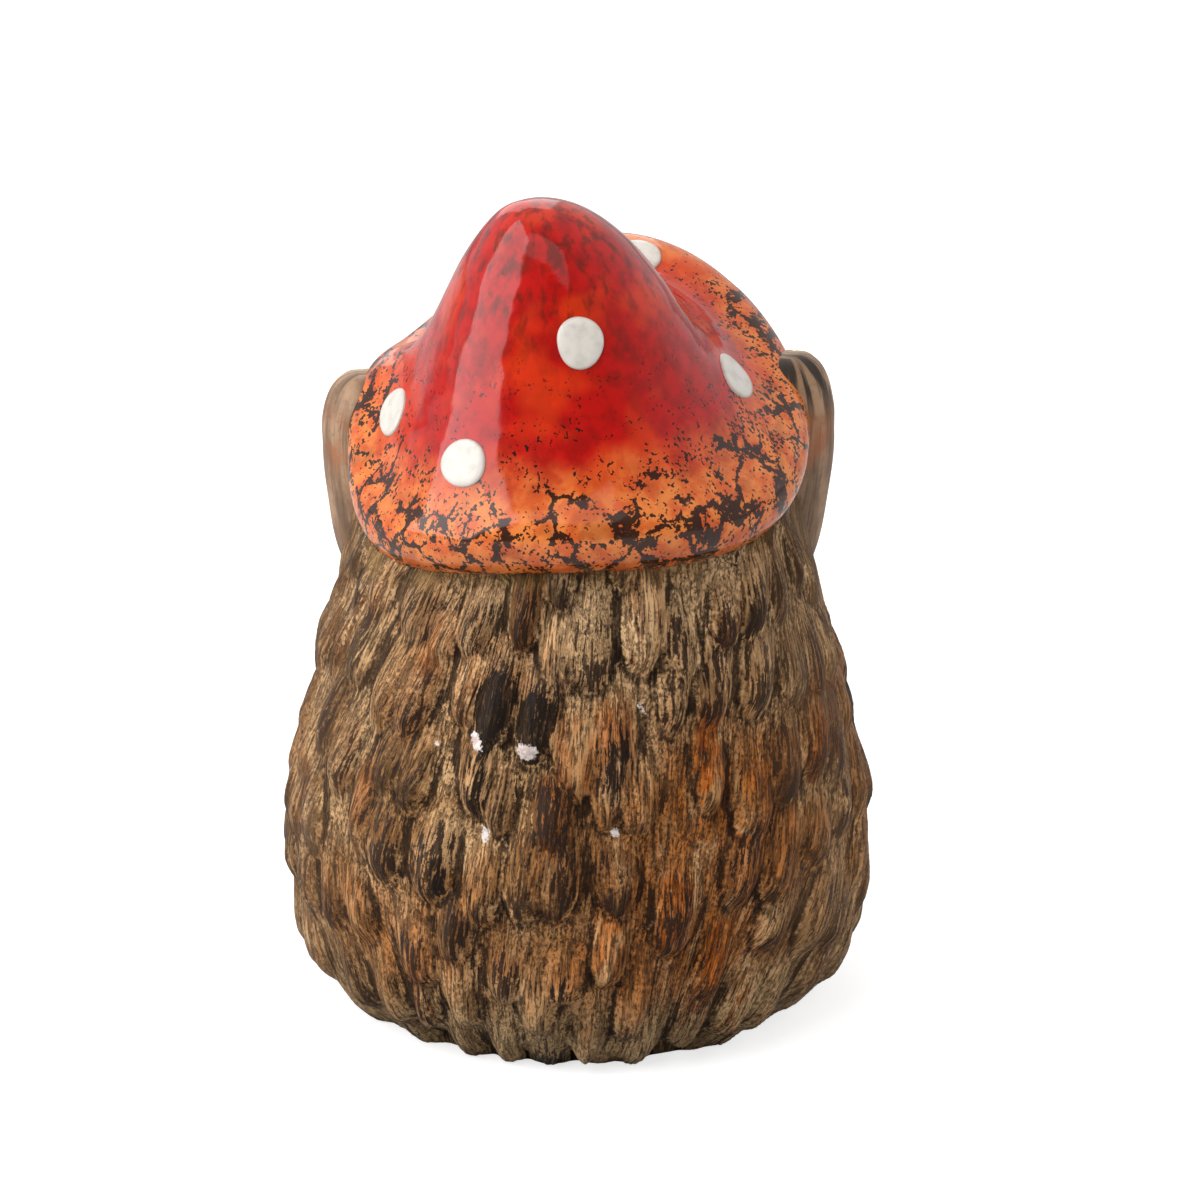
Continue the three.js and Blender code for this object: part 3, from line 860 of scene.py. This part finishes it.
def make_arm(name, side, material):
    """A raised arm with a paw, whose fingers are parted on the side towards the face."""

    def near(turn, spread, places):
        return bells(np.radians(turned(np.degrees(turn) + 90 * side)), spread, places)

    def shape(turn, along, radius):
        grooves = near(turn, 0.13, FINGER_GAPS)
        return ease(along, 0.7, 0.8) * (0.35 - 1.7 * grooves) * np.minimum(radius / 5, 1)

    outward = np.array([side, 0.0, 0.0])
    rings, line, fur, turn, along = limb_skin(arm_path(side), arm_girth, ARM_GRID, outward, shape)
    claws = near(turn, 0.12, FINGERS) * ease(np.abs(along - 0.95), 0.04, 0.025)
    bumps = 0.3 * lumps(rings, 11.0, 30 + side) + 0.12 * lumps(fur * (1.2, 0.25, 1), 2.6, 33) + 0.4 * claws
    rings = rings + unit(rings - line[1:-1, None]) * bumps[..., None]
    # Grooves between the fingers, for painted shade.
    grooves = near(turn, 0.1, FINGER_GAPS) * ease(along, 0.72, 0.8)
    masks = {
        "fur": fur,
        "paw": ease(along, 0.66, 0.8),
        "ahead": ease(-side * np.sin(turn), -0.2, 0.6),
        "brushed": (side < 0) * ease(along, 0.72, 0.9),
        "bleed": ease(nearest_gap(rings, brim_line()), 8.0, 3.0),
        "shoulder": ease(along, 0.5, 0.15),
        "line": np.maximum(claws, 0.6 * grooves),
    }
    skin = Skin(rings, line[0], line[-1], masks)
    make_piece(name + "_limb", skin, name, material)


def make_muzzle(material):
    """A tapered snout with a mouth line pressed into it."""
    mouth = np.zeros(MUZZLE_GRID)

    def shape(turn, along, radius):
        below = np.abs(turned(np.degrees(turn) - 180))
        curve = 58 * np.sqrt(np.clip((0.95 - along) / 0.33, 0, 1))
        gap = np.radians(below - curve) * radius
        line = bells(gap, 0.75) * ease(along, 0.6, 0.66) * ease(along, 0.985, 0.95)
        parting = bells(np.radians(below) * radius, 0.6) * ease(along, 0.93, 0.96)
        mouth[:] = np.maximum(line, parting * ease(along, 1.0, 0.985))
        lip = 0.7 * bells(gap, 1.6, [2.2]) * ease(along, 0.6, 0.75) * ease(along, 0.99, 0.93)
        bridge = 0.8 * ease(np.cos(turn), 0.4, 1.0) * ease(along, 0.95, 0.55)
        return np.clip(lip + bridge - mouth, -1.2, 0.9) * np.minimum(radius / 5, 1)

    upward = np.array([0.0, 0.0, 1.0])
    rings, line, fur, _, along = limb_skin(MUZZLE_PATH, muzzle_girth, MUZZLE_GRID, upward, shape)
    rings = rings + 0.12 * lumps(rings, 3.0, 40)[..., None] * (1, 0.3, 1)
    masks = {"fur": fur, "line": mouth, "shade": ease(along, 0.75, 1.0)}
    make_piece("snout", Skin(rings, line[0], line[-1], masks), "muzzle", material)


def ball(centre, half_size, grid, shape):
    """Rings of a ball and their directions from its middle, along which shape adds millimetres."""
    rows, columns = grid
    turn, down = np.meshgrid(full_turn(columns), np.linspace(0, math.pi, rows + 2)[1:-1])
    way = stacked(np.sin(down) * np.cos(turn), np.sin(down) * np.sin(turn), np.cos(down))
    return np.array(centre) + way * half_size + way * shape(way)[..., None], way


def make_nose(material):
    """A button nose, broad above and narrow below, with two nostrils and a groove between them."""

    def shape(way):
        gaps = [size_of(way - mirrored(NOSTRIL, side)) for side in SIDES.values()]
        nostrils = sum(bells(gap, NOSTRIL_WIDTH) for gap in gaps)
        ahead = ease(-way[..., 1], 0.2, 0.6) * ease(-way[..., 2], -0.2, 0.5)
        return -1.1 * nostrils - 0.5 * bells(way[..., 0], 0.1) * ahead

    rings, way = ball(NOSE_CENTRE, NOSE_HALF_SIZE, NOSE_GRID, shape)
    rings[..., 0] = rings[..., 0] * (1 - 0.22 * ease(-way[..., 2], -0.2, 1.0))
    pole = np.array([0, 0, NOSE_HALF_SIZE[2]])
    skin = Skin(rings, NOSE_CENTRE + pole, NOSE_CENTRE - pole, {})
    make_piece("nose_button", skin, "nose", material)


def make_eye(name, side, material):
    centre = mirrored(EYE_CENTRE, side)
    size = (EYE_RADIUS,) * 3
    rings, _ = ball(centre, size, EYE_GRID, lambda way: 0.05 * lumps(way * 4, 2.0, 50) - EYE_SHRINK)
    pole = np.array([0, 0, EYE_RADIUS - EYE_SHRINK])
    skin = Skin(rings, centre + pole, centre - pole, {})
    make_piece(name + "_bead", skin, name, material)


def make_ear(name, side, material):
    """A dished ear with a rolled rim."""
    rows, columns = EAR_GRID
    section = spline(EAR_SECTION, np.linspace(0, len(EAR_SECTION) - 1, rows + 2))[1:-1]
    share, depth = section[:, :1], section[:, 1, None, None]
    turns = full_turn(columns)
    ahead = np.array([side * math.sin(EAR_TURN), -math.cos(EAR_TURN), 0])
    across = np.array([math.cos(EAR_TURN), side * math.sin(EAR_TURN), 0])
    centre = mirrored(EAR_CENTRE, side)
    width, tall = EAR_HALF_SIZE
    rings = (
        centre
        + (share * width * np.cos(turns))[..., None] * across
        + (share * tall * np.sin(turns))[..., None] * (0, 0, 1)
        - depth * ahead
    )
    rings = rings + 0.12 * lumps(rings, 3.0, 60)[..., None] * ahead
    inner = ease(np.arange(rows) / rows, 0.62, 0.75)
    masks = {
        "fur": stacked(share * 14 * turns / (2 * math.pi), share * 9, 1),
        "line": np.zeros(EAR_GRID),
        "shade": np.repeat(0.9 * inner[:, None], columns, 1),
    }
    skin = Skin(rings, centre - EAR_SECTION[0][1] * ahead, centre - EAR_SECTION[-1][1] * ahead, masks)
    make_piece(name + "_dish", skin, name, material)


def make_foot(name, side, material):
    """A pad with four toes, flat underneath, with dark claws at the toes' ends."""

    def near(way, spread, places):
        return bells(np.arctan2(way[..., 0], -way[..., 1]), spread, places)

    def shape(way):
        grooves = near(way, 0.075, TOE_GAPS)
        ends = near(way, 0.16, TOES) * ease(way[..., 2], -0.2, 0.2)
        return ease(-way[..., 1], 0.45, 0.8) * (-1.5 * grooves + 0.5 * ends - 0.5)

    rings, way = ball((0, 0, 0), FOOT_HALF_SIZE, FOOT_GRID, shape)
    rings = rings + way * 0.2 * lumps(rings, 5.0, 70 + side)[..., None]
    ends = ease(-way[..., 1], 0.86, 0.93) * ease(np.abs(way[..., 2] + 0.05), 0.42, 0.25)
    claws = np.clip(near(way, 0.075, TOES), 0, 1) * ends
    rings = rings + way * (0.8 * claws)[..., None]
    # Painted shade in the creases between the toes.
    toe_crease_shade = near(way, 0.06, TOE_GAPS) * ease(-way[..., 1], 0.6, 0.8)
    masks = {
        "fur": stacked(rings[..., 0] + rings[..., 2], rings[..., 1], 0),
        "line": np.maximum(claws, 0.5 * toe_crease_shade),
        "shade": 0.3 * ease(way[..., 1], -0.2, 0.4),
    }
    centre = mirrored(FOOT_CENTRE, side)
    cos, sin = math.cos(side * FOOT_SPLAY), math.sin(side * FOOT_SPLAY)
    rings = rings @ np.array([[cos, sin, 0], [-sin, cos, 0], [0, 0, 1]]) + centre
    rings[..., 2] = np.maximum(rings[..., 2], 0)
    skin = Skin(rings, centre + (0, 0, FOOT_HALF_SIZE[2]), centre * (1, 1, 0), masks)
    make_piece(name + "_pad", skin, name, material)


# Materials


def rgb(text):
    """A colour from its six-digit screen code, as the shader's linear values."""
    parts = [int(text[i : i + 2], 16) / 255 for i in (0, 2, 4)]
    return (*(p / 12.92 if p <= 0.04045 else ((p + 0.055) / 1.055) ** 2.4 for p in parts), 1.0)


class Nodes:
    """A tree of shader nodes that is built step by step."""

    def __init__(self, tree):
        self.tree = tree

    def node(self, kind, inputs=(), output=0, **settings):
        """Adds a node with its inputs linked or set, and returns one of its outputs."""
        made = self.tree.nodes.new("ShaderNode" + kind)
        for name, value in settings.items():
            setattr(made, name, value)
        for key, value in dict(inputs).items():
            self.feed(made.inputs[key], value)
        return made.outputs[output]

    def feed(self, socket, value):
        if isinstance(value, bpy.types.NodeSocket):
            self.tree.links.new(value, socket)
        else:
            socket.default_value = value


class Glaze(Nodes):
    """A material whose colour is mixed step by step from noise and painted masks."""

    def __init__(self, name):
        self.material = bpy.data.materials.new(name)
        self.material.use_nodes = True
        super().__init__(self.material.node_tree)
        self.shader = self.tree.nodes["Principled BSDF"]

    def set(self, **values):
        """Sets the shader's own sockets, with _ for a space in a socket's name."""
        for name, value in values.items():
            self.feed(self.shader.inputs[name.replace("_", " ")], value)
        return self.material

    def mask(self, name):
        return self.node("Attribute", output="Fac", attribute_name=name)

    def fur(self, across, along):
        """The coordinates along the strokes, with the length of a lump each way in millimetres."""
        vector = self.node("Attribute", output="Vector", attribute_name="fur")
        return self.scaled(vector, (1 / across, 1 / along, 1))

    def place(self, size):
        """Place in the object, counted in lumps of a size in millimetres."""
        vector = self.node("TexCoord", output="Object")
        return self.scaled(vector, (1 / (size * MM),) * 3)

    def scaled(self, vector, factors):
        return self.node("VectorMath", {0: vector, 1: factors}, operation="MULTIPLY")

    def noise(self, vector, detail=2.0, roughness=0.5, output=0):
        inputs = {"Vector": vector, "Scale": 1.0, "Detail": detail, "Roughness": roughness}
        return self.node("TexNoise", inputs, output)

    def cells(self, vector, feature):
        return self.node("TexVoronoi", {"Vector": vector, "Scale": 1.0}, "Distance", feature=feature)

    def step(self, value, low, high):
        """0 below low, 1 above high and smooth between them. low may be the greater one."""
        inputs = {"Value": value, "From Min": low, "From Max": high}
        return self.node("MapRange", inputs, interpolation_type="SMOOTHSTEP")

    def math(self, operation, first, second):
        return self.node("Math", {0: first, 1: second}, operation=operation)

    def times(self, first, second):
        return self.math("MULTIPLY", first, second)

    def plus(self, first, second):
        return self.math("ADD", first, second)

    def ragged(self, value, *noises):
        """A value made uneven by noises, each with its weight and going up and down from its middle."""
        for noise, weight in noises:
            value = self.plus(value, self.times(self.plus(noise, -0.5), weight))
        return value

    def mix(self, share, first, second):
        return self.node("Mix", {0: share, 6: first, 7: second}, 2, data_type="RGBA")

    def blend(self, value, low, high, first, second):
        """One colour where a value is low, another where it is high and a blend between."""
        return self.mix(self.step(value, low, high), rgb(first), rgb(second))

    def tint(self, colour, added, strength, mask):
        """A colour with another over it, as strongly as a mask says."""
        return self.mix(self.times(mask, strength), colour, rgb(added))

    def wash(self, colour, added, strength, value, low, high):
        """A colour with another over it, where a value has gone from low to high."""
        return self.tint(colour, added, strength, self.step(value, low, high))

    def bump(self, height, distance, strength=1.0):
        return self.node("Bump", {"Height": height, "Distance": distance * MM, "Strength": strength})


def coat_noises(g):
    """The noises that the coat is painted with, from single hairs to broad patches."""
    grit = g.noise(g.fur(0.4, 0.8), 4.0, 0.75)
    strokes = {"hair": (0.3, 3.2), "fine": (0.45, 4.6), "lines": (0.8, 6.5)}
    return SimpleNamespace(
        **{name: g.ragged(g.noise(g.fur(*size)), (grit, 0.4)) for name, size in strokes.items()},
        grit=grit,
        locks=g.noise(g.fur(1.8, 12.0)),
        broad=g.noise(g.fur(5.0, 14.0)),
        patch=g.noise(g.place(13.0)),
        grain=g.noise(g.place(0.45), 2.0, 0.65),
        speckle=g.noise(g.place(1.2), 3.0, 0.6),
    )


def clay_colour(g, n):
    """Bare clay, paler high up, greyer at the base and rusty in places."""
    clay = g.blend(n.patch, 0.38, 0.62, "e6ba86", "b48656")
    clay = g.tint(clay, "ebc596", 0.45, g.mask("high"))
    glow = g.times(g.mask("glow"), g.step(g.plus(n.broad, g.times(n.locks, 0.4)), 0.35, 0.75))
    clay = g.mix(g.times(glow, 0.85), clay, g.blend(n.locks, 0.4, 0.6, "c8701f", "945216"))
    return g.tint(clay, "ae9872", 0.6, g.mask("base"))


def tuft_colour(g, n, clay, ink):
    """Brown and rusty washes over the clay, with black strokes and tips, and thin hairs left bare."""
    colour = g.wash(clay, "7c5630", 0.7, g.ragged(g.mask("tone"), (n.locks, 1.4)), 0.2, 0.7)
    rusty = g.times(g.mask("rust"), g.step(g.plus(n.broad, g.times(n.locks, 0.3)), 0.46, 0.62))
    colour = g.mix(g.times(rusty, 0.9), colour, g.blend(n.locks, 0.42, 0.6, "b5601a", "803f10"))
    colour = g.wash(colour, "3a2412", 0.7, n.fine, 0.46, 0.58)
    colour = g.wash(colour, "d0a474", 0.4, n.hair, 0.42, 0.3)
    colour = g.wash(colour, "24160d", 0.93, ink, 0.62, 0.73)
    tipped = g.ragged(g.mask("tip"), (n.fine, 2.0), (n.locks, 1.4))
    colour = g.wash(colour, "1a110c", 0.9, tipped, 0.42, 0.7)
    colour = g.wash(colour, "22150c", 0.5, n.grit, 0.54, 0.7)
    return g.mix(g.times(g.step(n.hair, 0.36, 0.28), 0.35), colour, clay)


def coat_colour(g, n, ink):
    """Painted tufts, worn down to gritty clay in places, with dark paint and painted shade beside them and
    painted shadow below their tips.
    """
    clay = clay_colour(g, n)
    gritty = g.wash(clay, "3c2817", 0.75, g.ragged(n.grit, (n.speckle, 0.5)), 0.4, 0.62)
    gritty = g.wash(gritty, "2c1c10", 0.6, n.lines, 0.5, 0.6)
    bald = g.math("MAXIMUM", g.step(g.noise(g.place(16.0), 1.0), 0.5, 0.62), g.mask("base"))
    worn = g.times(bald, g.plus(-0.55, g.times(g.mask("tip"), 0.5)))
    cover = g.ragged(g.plus(g.mask("cover"), worn), (n.lines, 1.8), (n.speckle, 0.9))
    coat = g.mix(g.step(cover, 0.25, 0.75), gritty, tuft_colour(g, n, clay, ink))
    # Dark paint and painted shade on the lower end of each tuft.
    end = g.ragged(g.mask("end"), (n.lines, 1.2), (n.speckle, 0.5))
    coat = g.wash(coat, "2a190e", 0.75, end, 0.4, 0.9)
    # Dark paint together with painted shade in the gaps beside the tufts.
    gap_paint_and_shade = g.ragged(g.mask("gap_paint_and_shade"), (n.lines, 1.0), (n.speckle, 0.6))
    coat = g.wash(coat, "28190f", 0.85, gap_paint_and_shade, 0.3, 0.7)
    flank = g.mask("flank")
    # Painted shadow below each tuft's tip, weaker on the flanks.
    under = g.times(g.mask("under"), g.plus(1.0, g.times(flank, -0.35)))
    coat = g.wash(coat, "26170d", 0.8, g.ragged(under, (n.lines, 0.8), (n.speckle, 0.5)), 0.25, 0.8)
    # Painted shade in the recesses between the tufts.
    coat = g.wash(coat, "2c1c10", 0.15, g.ragged(g.mask("recess"), (n.speckle, 1.0)), 0.5, 1.1)
    coat = g.mix(g.times(flank, 0.3), coat, g.blend(n.broad, 0.38, 0.62, "94704c", "5c3f28"))
    plain = g.blend(n.broad, 0.35, 0.65, "98754f", "705236")
    plain = g.wash(plain, "3a2a1b", 0.5, ink, 0.5, 0.7)
    coat = g.mix(g.times(g.mask("plain"), 0.85), coat, plain)
    return g.tint(coat, "86692c", 0.35, g.times(g.mask("bleed"), g.step(n.patch, 0.46, 0.6)))


def slip_colour(g, patch, fine, full):
    """Cream slip with tan brush strokes, darkest where the fine noise reaches full."""
    return g.wash(g.blend(patch, 0.3, 0.7, "d3b88c", "bf9c6c"), "8d6a44", 0.55, fine, 0.5, full)


def coat_wash():
    """Brown and black washes and painted shade on the coat, cream slip on belly and face, and chips to the
    white clay.
    """
    g = Glaze("coat_wash")
    n = coat_noises(g)
    ink = g.plus(g.ragged(n.lines, (n.fine, 0.5), (n.broad, 0.4)), g.times(g.mask("dark"), 0.28))
    cream = g.tint(slip_colour(g, n.patch, n.fine, 0.7), "4a3423", 0.8, g.mask("socket"))
    skin = g.ragged(g.mask("skin"), (n.locks, 1.2), (n.lines, 0.8))
    colour = g.mix(g.step(skin, 0.35, 0.65), coat_colour(g, n, ink), cream)
    bare = g.step(g.ragged(g.mask("chip"), (n.speckle, 1.6), (n.grain, 1.6)), 0.15, -0.1)
    colour = g.mix(bare, colour, g.blend(n.speckle, 0.4, 0.6, "ece2de", "cbb6b0"))
    surface = g.plus(g.times(n.fine, -0.3), g.times(n.grain, 0.3))
    relief = g.plus(g.times(g.step(ink, 0.66, 0.46), 0.6), surface)
    normal = g.bump(g.mix(bare, relief, (0.6, 0.6, 0.6, 1)), 0.5)
    rough = g.plus(0.4, g.plus(g.times(g.mask("recess"), 0.14), g.times(n.grain, 0.2)))
    return g.set(Base_Color=colour, Roughness=rough, Normal=normal, Specular_IOR_Level=0.17)


def arm_wash():
    """Soft grey-brown wash, with orange glaze run over from the brim, pale fingers, dark claws and painted
    shade between the fingers.
    """
    g = Glaze("arm_wash")
    fine = g.noise(g.fur(0.6, 9.0))
    broad = g.noise(g.fur(3.4, 16.0))
    patch = g.noise(g.place(9.0))
    speckle = g.noise(g.place(1.3), 3.0, 0.6)
    grain = g.noise(g.place(0.5), 2.0, 0.65)
    lines = g.ragged(fine, (broad, 0.5))
    colour = g.blend(patch, 0.35, 0.65, "aa8769", "886850")
    colour = g.wash(colour, "5f4935", 0.6, broad, 0.42, 0.62)
    colour = g.wash(colour, "3b2d21", 0.45, lines, 0.54, 0.7)
    colour = g.wash(colour, "4d3b2a", 0.3, speckle, 0.5, 0.7)
    colour = g.tint(colour, "b4622c", 0.45, g.times(g.mask("bleed"), g.step(patch, 0.4, 0.55)))
    strokes = g.step(g.plus(broad, g.times(fine, 0.3)), 0.6, 0.7)
    colour = g.tint(colour, "1f1813", 0.9, g.times(g.mask("brushed"), strokes))
    face = g.times(g.mask("paw"), g.mask("ahead"))
    colour = g.mix(g.times(face, 0.8), colour, g.blend(fine, 0.5, 0.7, "c5a67a", "80613f"))
    coat = g.blend(lines, 0.44, 0.6, "8a6540", "3a2718")
    colour = g.mix(g.times(g.mask("shoulder"), 0.8), colour, coat)
    # Dark claws, and painted shade in the grooves between the fingers.
    colour = g.mix(g.step(g.mask("line"), 0.3, 0.8), colour, rgb("2e2118"))
    normal = g.bump(g.plus(g.times(fine, 0.6), g.times(grain, 0.4)), 0.16, 0.7)
    rough = g.plus(0.4, g.times(grain, 0.2))
    return g.set(Base_Color=colour, Roughness=rough, Normal=normal, Specular_IOR_Level=0.4)


def face_slip():
    """Cream slip on the snout, ears and feet, with dark painted lines and claws, and painted shade in the
    toe creases and hollows.
    """
    g = Glaze("face_slip")
    fine = g.noise(g.fur(0.5, 8.0))
    grain = g.noise(g.place(0.5), 2.0, 0.65)
    colour = slip_colour(g, g.noise(g.place(9.0)), fine, 0.72)
    colour = g.tint(colour, "7a5636", 0.55, g.mask("shade"))
    # Dark painted lines and claws, and painted shade in the toe creases.
    colour = g.mix(g.step(g.mask("line"), 0.25, 0.7), colour, rgb("33241a"))
    normal = g.bump(g.plus(g.times(fine, 0.6), g.times(grain, 0.4)), 0.16, 0.8)
    return g.set(Base_Color=colour, Roughness=g.plus(0.34, g.times(grain, 0.22)), Normal=normal)


def black_glaze():
    g = Glaze("black_glaze")
    patch = g.noise(g.place(2.5), 3.0)
    colour = g.blend(patch, 0.4, 0.75, "0d0c0c", "2a211d")
    normal = g.bump(g.noise(g.place(1.6), 1.0), 0.05, 0.5)
    rough = g.plus(0.05, g.times(patch, 0.08))
    return g.set(Base_Color=colour, Roughness=rough, Normal=normal, Coat_Weight=0.6)


def red_glaze():
    """Deep red glaze that breaks to orange on the way down, with black marks near the brim."""
    g = Glaze("red_glaze")
    mottle = g.noise(g.place(4.0), 4.0, 0.6)
    streak = g.noise(g.scaled(g.place(2.4), (1.0, 1.0, 0.3)), 3.0, 0.6)
    level = g.ragged(g.mask("down"), (g.noise(g.place(11.0), 3.0, 0.55), 0.2))
    red = g.blend(mottle, 0.4, 0.62, "b60f08", "9c0c06")
    red = g.wash(red, "d83c0c", 0.55, g.noise(g.place(15.0)), 0.5, 0.64)
    near_peak = g.step(level, 0.6, 0.2)
    red = g.tint(red, "571a0c", 0.7, g.times(g.step(streak, 0.46, 0.64), near_peak))
    orange = g.blend(mottle, 0.38, 0.62, "df7f3c", "ce5c26")
    colour = g.mix(g.step(level, 0.6, 0.78), red, orange)
    colour = g.wash(colour, "b04a1c", 0.75, level, 0.86, 1.0)
    near_brim = g.step(g.plus(level, g.times(g.mask("side"), 0.07)), 0.62, 0.84)
    smudge = g.times(g.step(g.noise(g.place(7.0)), 0.54, 0.68), near_brim)
    colour = g.tint(colour, "6a2a14", 0.35, smudge)
    colour = g.tint(colour, "17100c", 0.95, black_marks(g, level, near_brim))
    waves = g.plus(g.noise(g.place(7.0), 1.0), g.times(g.noise(g.place(13.0), 1.5), 8.0))
    normal = g.bump(g.plus(g.times(mottle, 0.5), waves), 0.2, 0.35)
    return g.set(Base_Color=colour, Roughness=g.plus(0.05, g.times(mottle, 0.08)), Normal=normal)


def black_marks(g, level, near_brim):
    """Where the red glaze is black: broken veins, wider where they meet, and specks."""
    bend = g.noise(g.place(6.0), 1.0, output="Color")
    bent = g.node("VectorMath", {0: g.place(8.5), 1: bend}, operation="ADD")
    edge = g.cells(bent, "DISTANCE_TO_EDGE")
    middle = g.cells(bent, "F1")
    broken = g.noise(g.place(4.0), 1.0)
    fewer = g.times(g.plus(near_brim, -1.0), 0.35)
    width = g.math("MINIMUM", g.ragged(fewer, (middle, 0.6), (broken, 0.6)), 0.085)
    rough = g.noise(g.place(1.1), 3.0, 0.65)
    veins = g.step(g.ragged(g.math("SUBTRACT", edge, width), (rough, 0.45)), 0.02, -0.02)
    cloud = g.plus(g.times(near_brim, 0.11), g.times(g.step(edge, 0.2, 0.02), 0.14))
    dots = g.plus(g.noise(g.place(0.8), 1.5), cloud)
    specks = g.times(g.step(dots, 0.74, 0.77), g.step(level, 0.3, 0.6))
    return g.math("MAXIMUM", veins, specks)


def white_enamel():
    g = Glaze("white_enamel")
    stain = g.noise(g.place(3.0), 3.0, 0.55)
    colour = g.blend(stain, 0.4, 0.75, "d9d3ca", "c6c0b6")
    colour = g.wash(colour, "a58a80", 0.5, g.mask("middle"), 0.14, 0.0)
    rough = g.plus(0.12, g.times(stain, 0.2))
    return g.set(Base_Color=colour, Roughness=rough, Normal=g.bump(stain, 0.1, 0.4), Coat_Weight=0.3)


# Stage


def make_floor():
    """A pale floor that fades to white far away. Its glow is seen but doesn't light the figure."""
    mesh = bpy.data.meshes.new("floor")
    ways = [(-1, -1), (1, -1), (1, 1), (-1, 1)]
    corners = [(x * FLOOR_HALF_WIDTH, y * FLOOR_HALF_WIDTH, -FLOOR_DROP) for x, y in ways]
    mesh.from_pydata(corners, [], [(0, 1, 2, 3)])
    g = Glaze("floor")
    shade = g.noise(g.place(60.0))
    g.set(Base_Color=g.mix(shade, (0.54, 0.54, 0.54, 1), (0.56, 0.56, 0.56, 1)), Roughness=0.9)
    distance = g.node("VectorMath", {0: g.node("TexCoord", output="Object")}, "Value", operation="LENGTH")
    fade = {"Value": distance, "From Min": 0.4, "From Max": 1.1, "To Min": 0.7, "To Max": 1.1}
    glow = g.times(g.node("MapRange", fade), g.node("LightPath", output="Is Camera Ray"))
    g.set(Emission_Color=(1, 1, 1, 1), Emission_Strength=glow, Specular_IOR_Level=0.1)
    mesh.materials.append(g.material)
    floor = add_object("floor", mesh)


def make_camera():
    data = bpy.data.cameras.new("camera")
    data.sensor_width = SENSOR
    data.lens = SENSOR * CAMERA_DISTANCE / FRAME_HEIGHT
    camera = add_object("camera", data)
    back = Vector((0, math.cos(CAMERA_ELEVATION), math.sin(CAMERA_ELEVATION)))
    camera.location = CAMERA_AIM + back * CAMERA_DISTANCE
    camera.rotation_euler = (-back).to_track_quat("-Z", "Y").to_euler()
    bpy.context.scene.camera = camera


def make_softbox(name, direction, distance, size, radiance, glossy=True, lit=True):
    """A rectangular lamp, seen in the figure's glaze, lighting its colours, or both."""
    data = bpy.data.lights.new(name, "AREA")
    data.shape = "RECTANGLE"
    data.size, data.size_y = size
    data.energy = radiance * math.pi * size[0] * size[1]
    lamp = add_object(name, data)
    way = Vector(direction).normalized()
    lamp.location = LAMP_AIM + way * distance
    lamp.rotation_euler = way.to_track_quat("Z", "Y").to_euler()
    lamp.visible_camera = False
    lamp.visible_glossy = glossy
    lamp.visible_diffuse = lit


def make_world():
    """White to the camera, and for the light a bright room that is darker behind the photographer."""
    world = bpy.data.worlds.new("studio")
    world.use_nodes = True
    n = Nodes(world.node_tree)
    way = n.node("SeparateXYZ", {0: n.node("TexCoord", output="Generated")}, "Y")
    room = {"Value": way, "From Min": -0.3, "From Max": 0.7, "To Min": 0.72, "To Max": 0.14}
    seen = n.node("LightPath", output="Is Camera Ray")
    strength = n.node("MapRange", {"Value": seen, "To Min": n.node("MapRange", room)})
    background = n.tree.nodes["Background"]
    n.feed(background.inputs["Color"], (1, 1, 1, 1))
    n.feed(background.inputs["Strength"], strength)
    bpy.context.scene.world = world


# The figurine
make_camera()
make_floor()
make_world()
make_softbox("left_softbox", (0.88, 0.18, 0.5), 1.1, (1.0, 1.2), 2.5)
make_softbox("top_softbox", (0.12, 0.55, 0.83), 1.1, (1.1, 0.4), 0.8, lit=False)
make_softbox("back_softbox", (0.55, 0.6, 0.75), 1.2, (1.0, 0.8), 3.0, glossy=False)
make_softbox("right_softbox", (-0.75, 0.4, 0.55), 1.2, (1.1, 0.9), 1.7, glossy=False)
make_softbox("front_softbox", (0.2, -0.9, 0.5), 1.1, (0.8, 0.8), 1.2)
bpy.context.scene.view_settings.view_transform = "Standard"

make_body(coat_wash())
cap = make_cap(red_glaze())
cap_surface = surface_of(cap)
enamel = white_enamel()
for number, spot in enumerate(SPOTS, 1):
    make_spot(number, spot, cap_surface, enamel)
arm_material, slip, black = arm_wash(), face_slip(), black_glaze()
make_muzzle(slip)
make_nose(black)
for name, side in SIDES.items():
    make_arm(name + "_arm", side, arm_material)
    make_ear(name + "_ear", side, slip)
    make_foot(name + "_foot", side, slip)
    make_eye(name + "_eye", side, black)
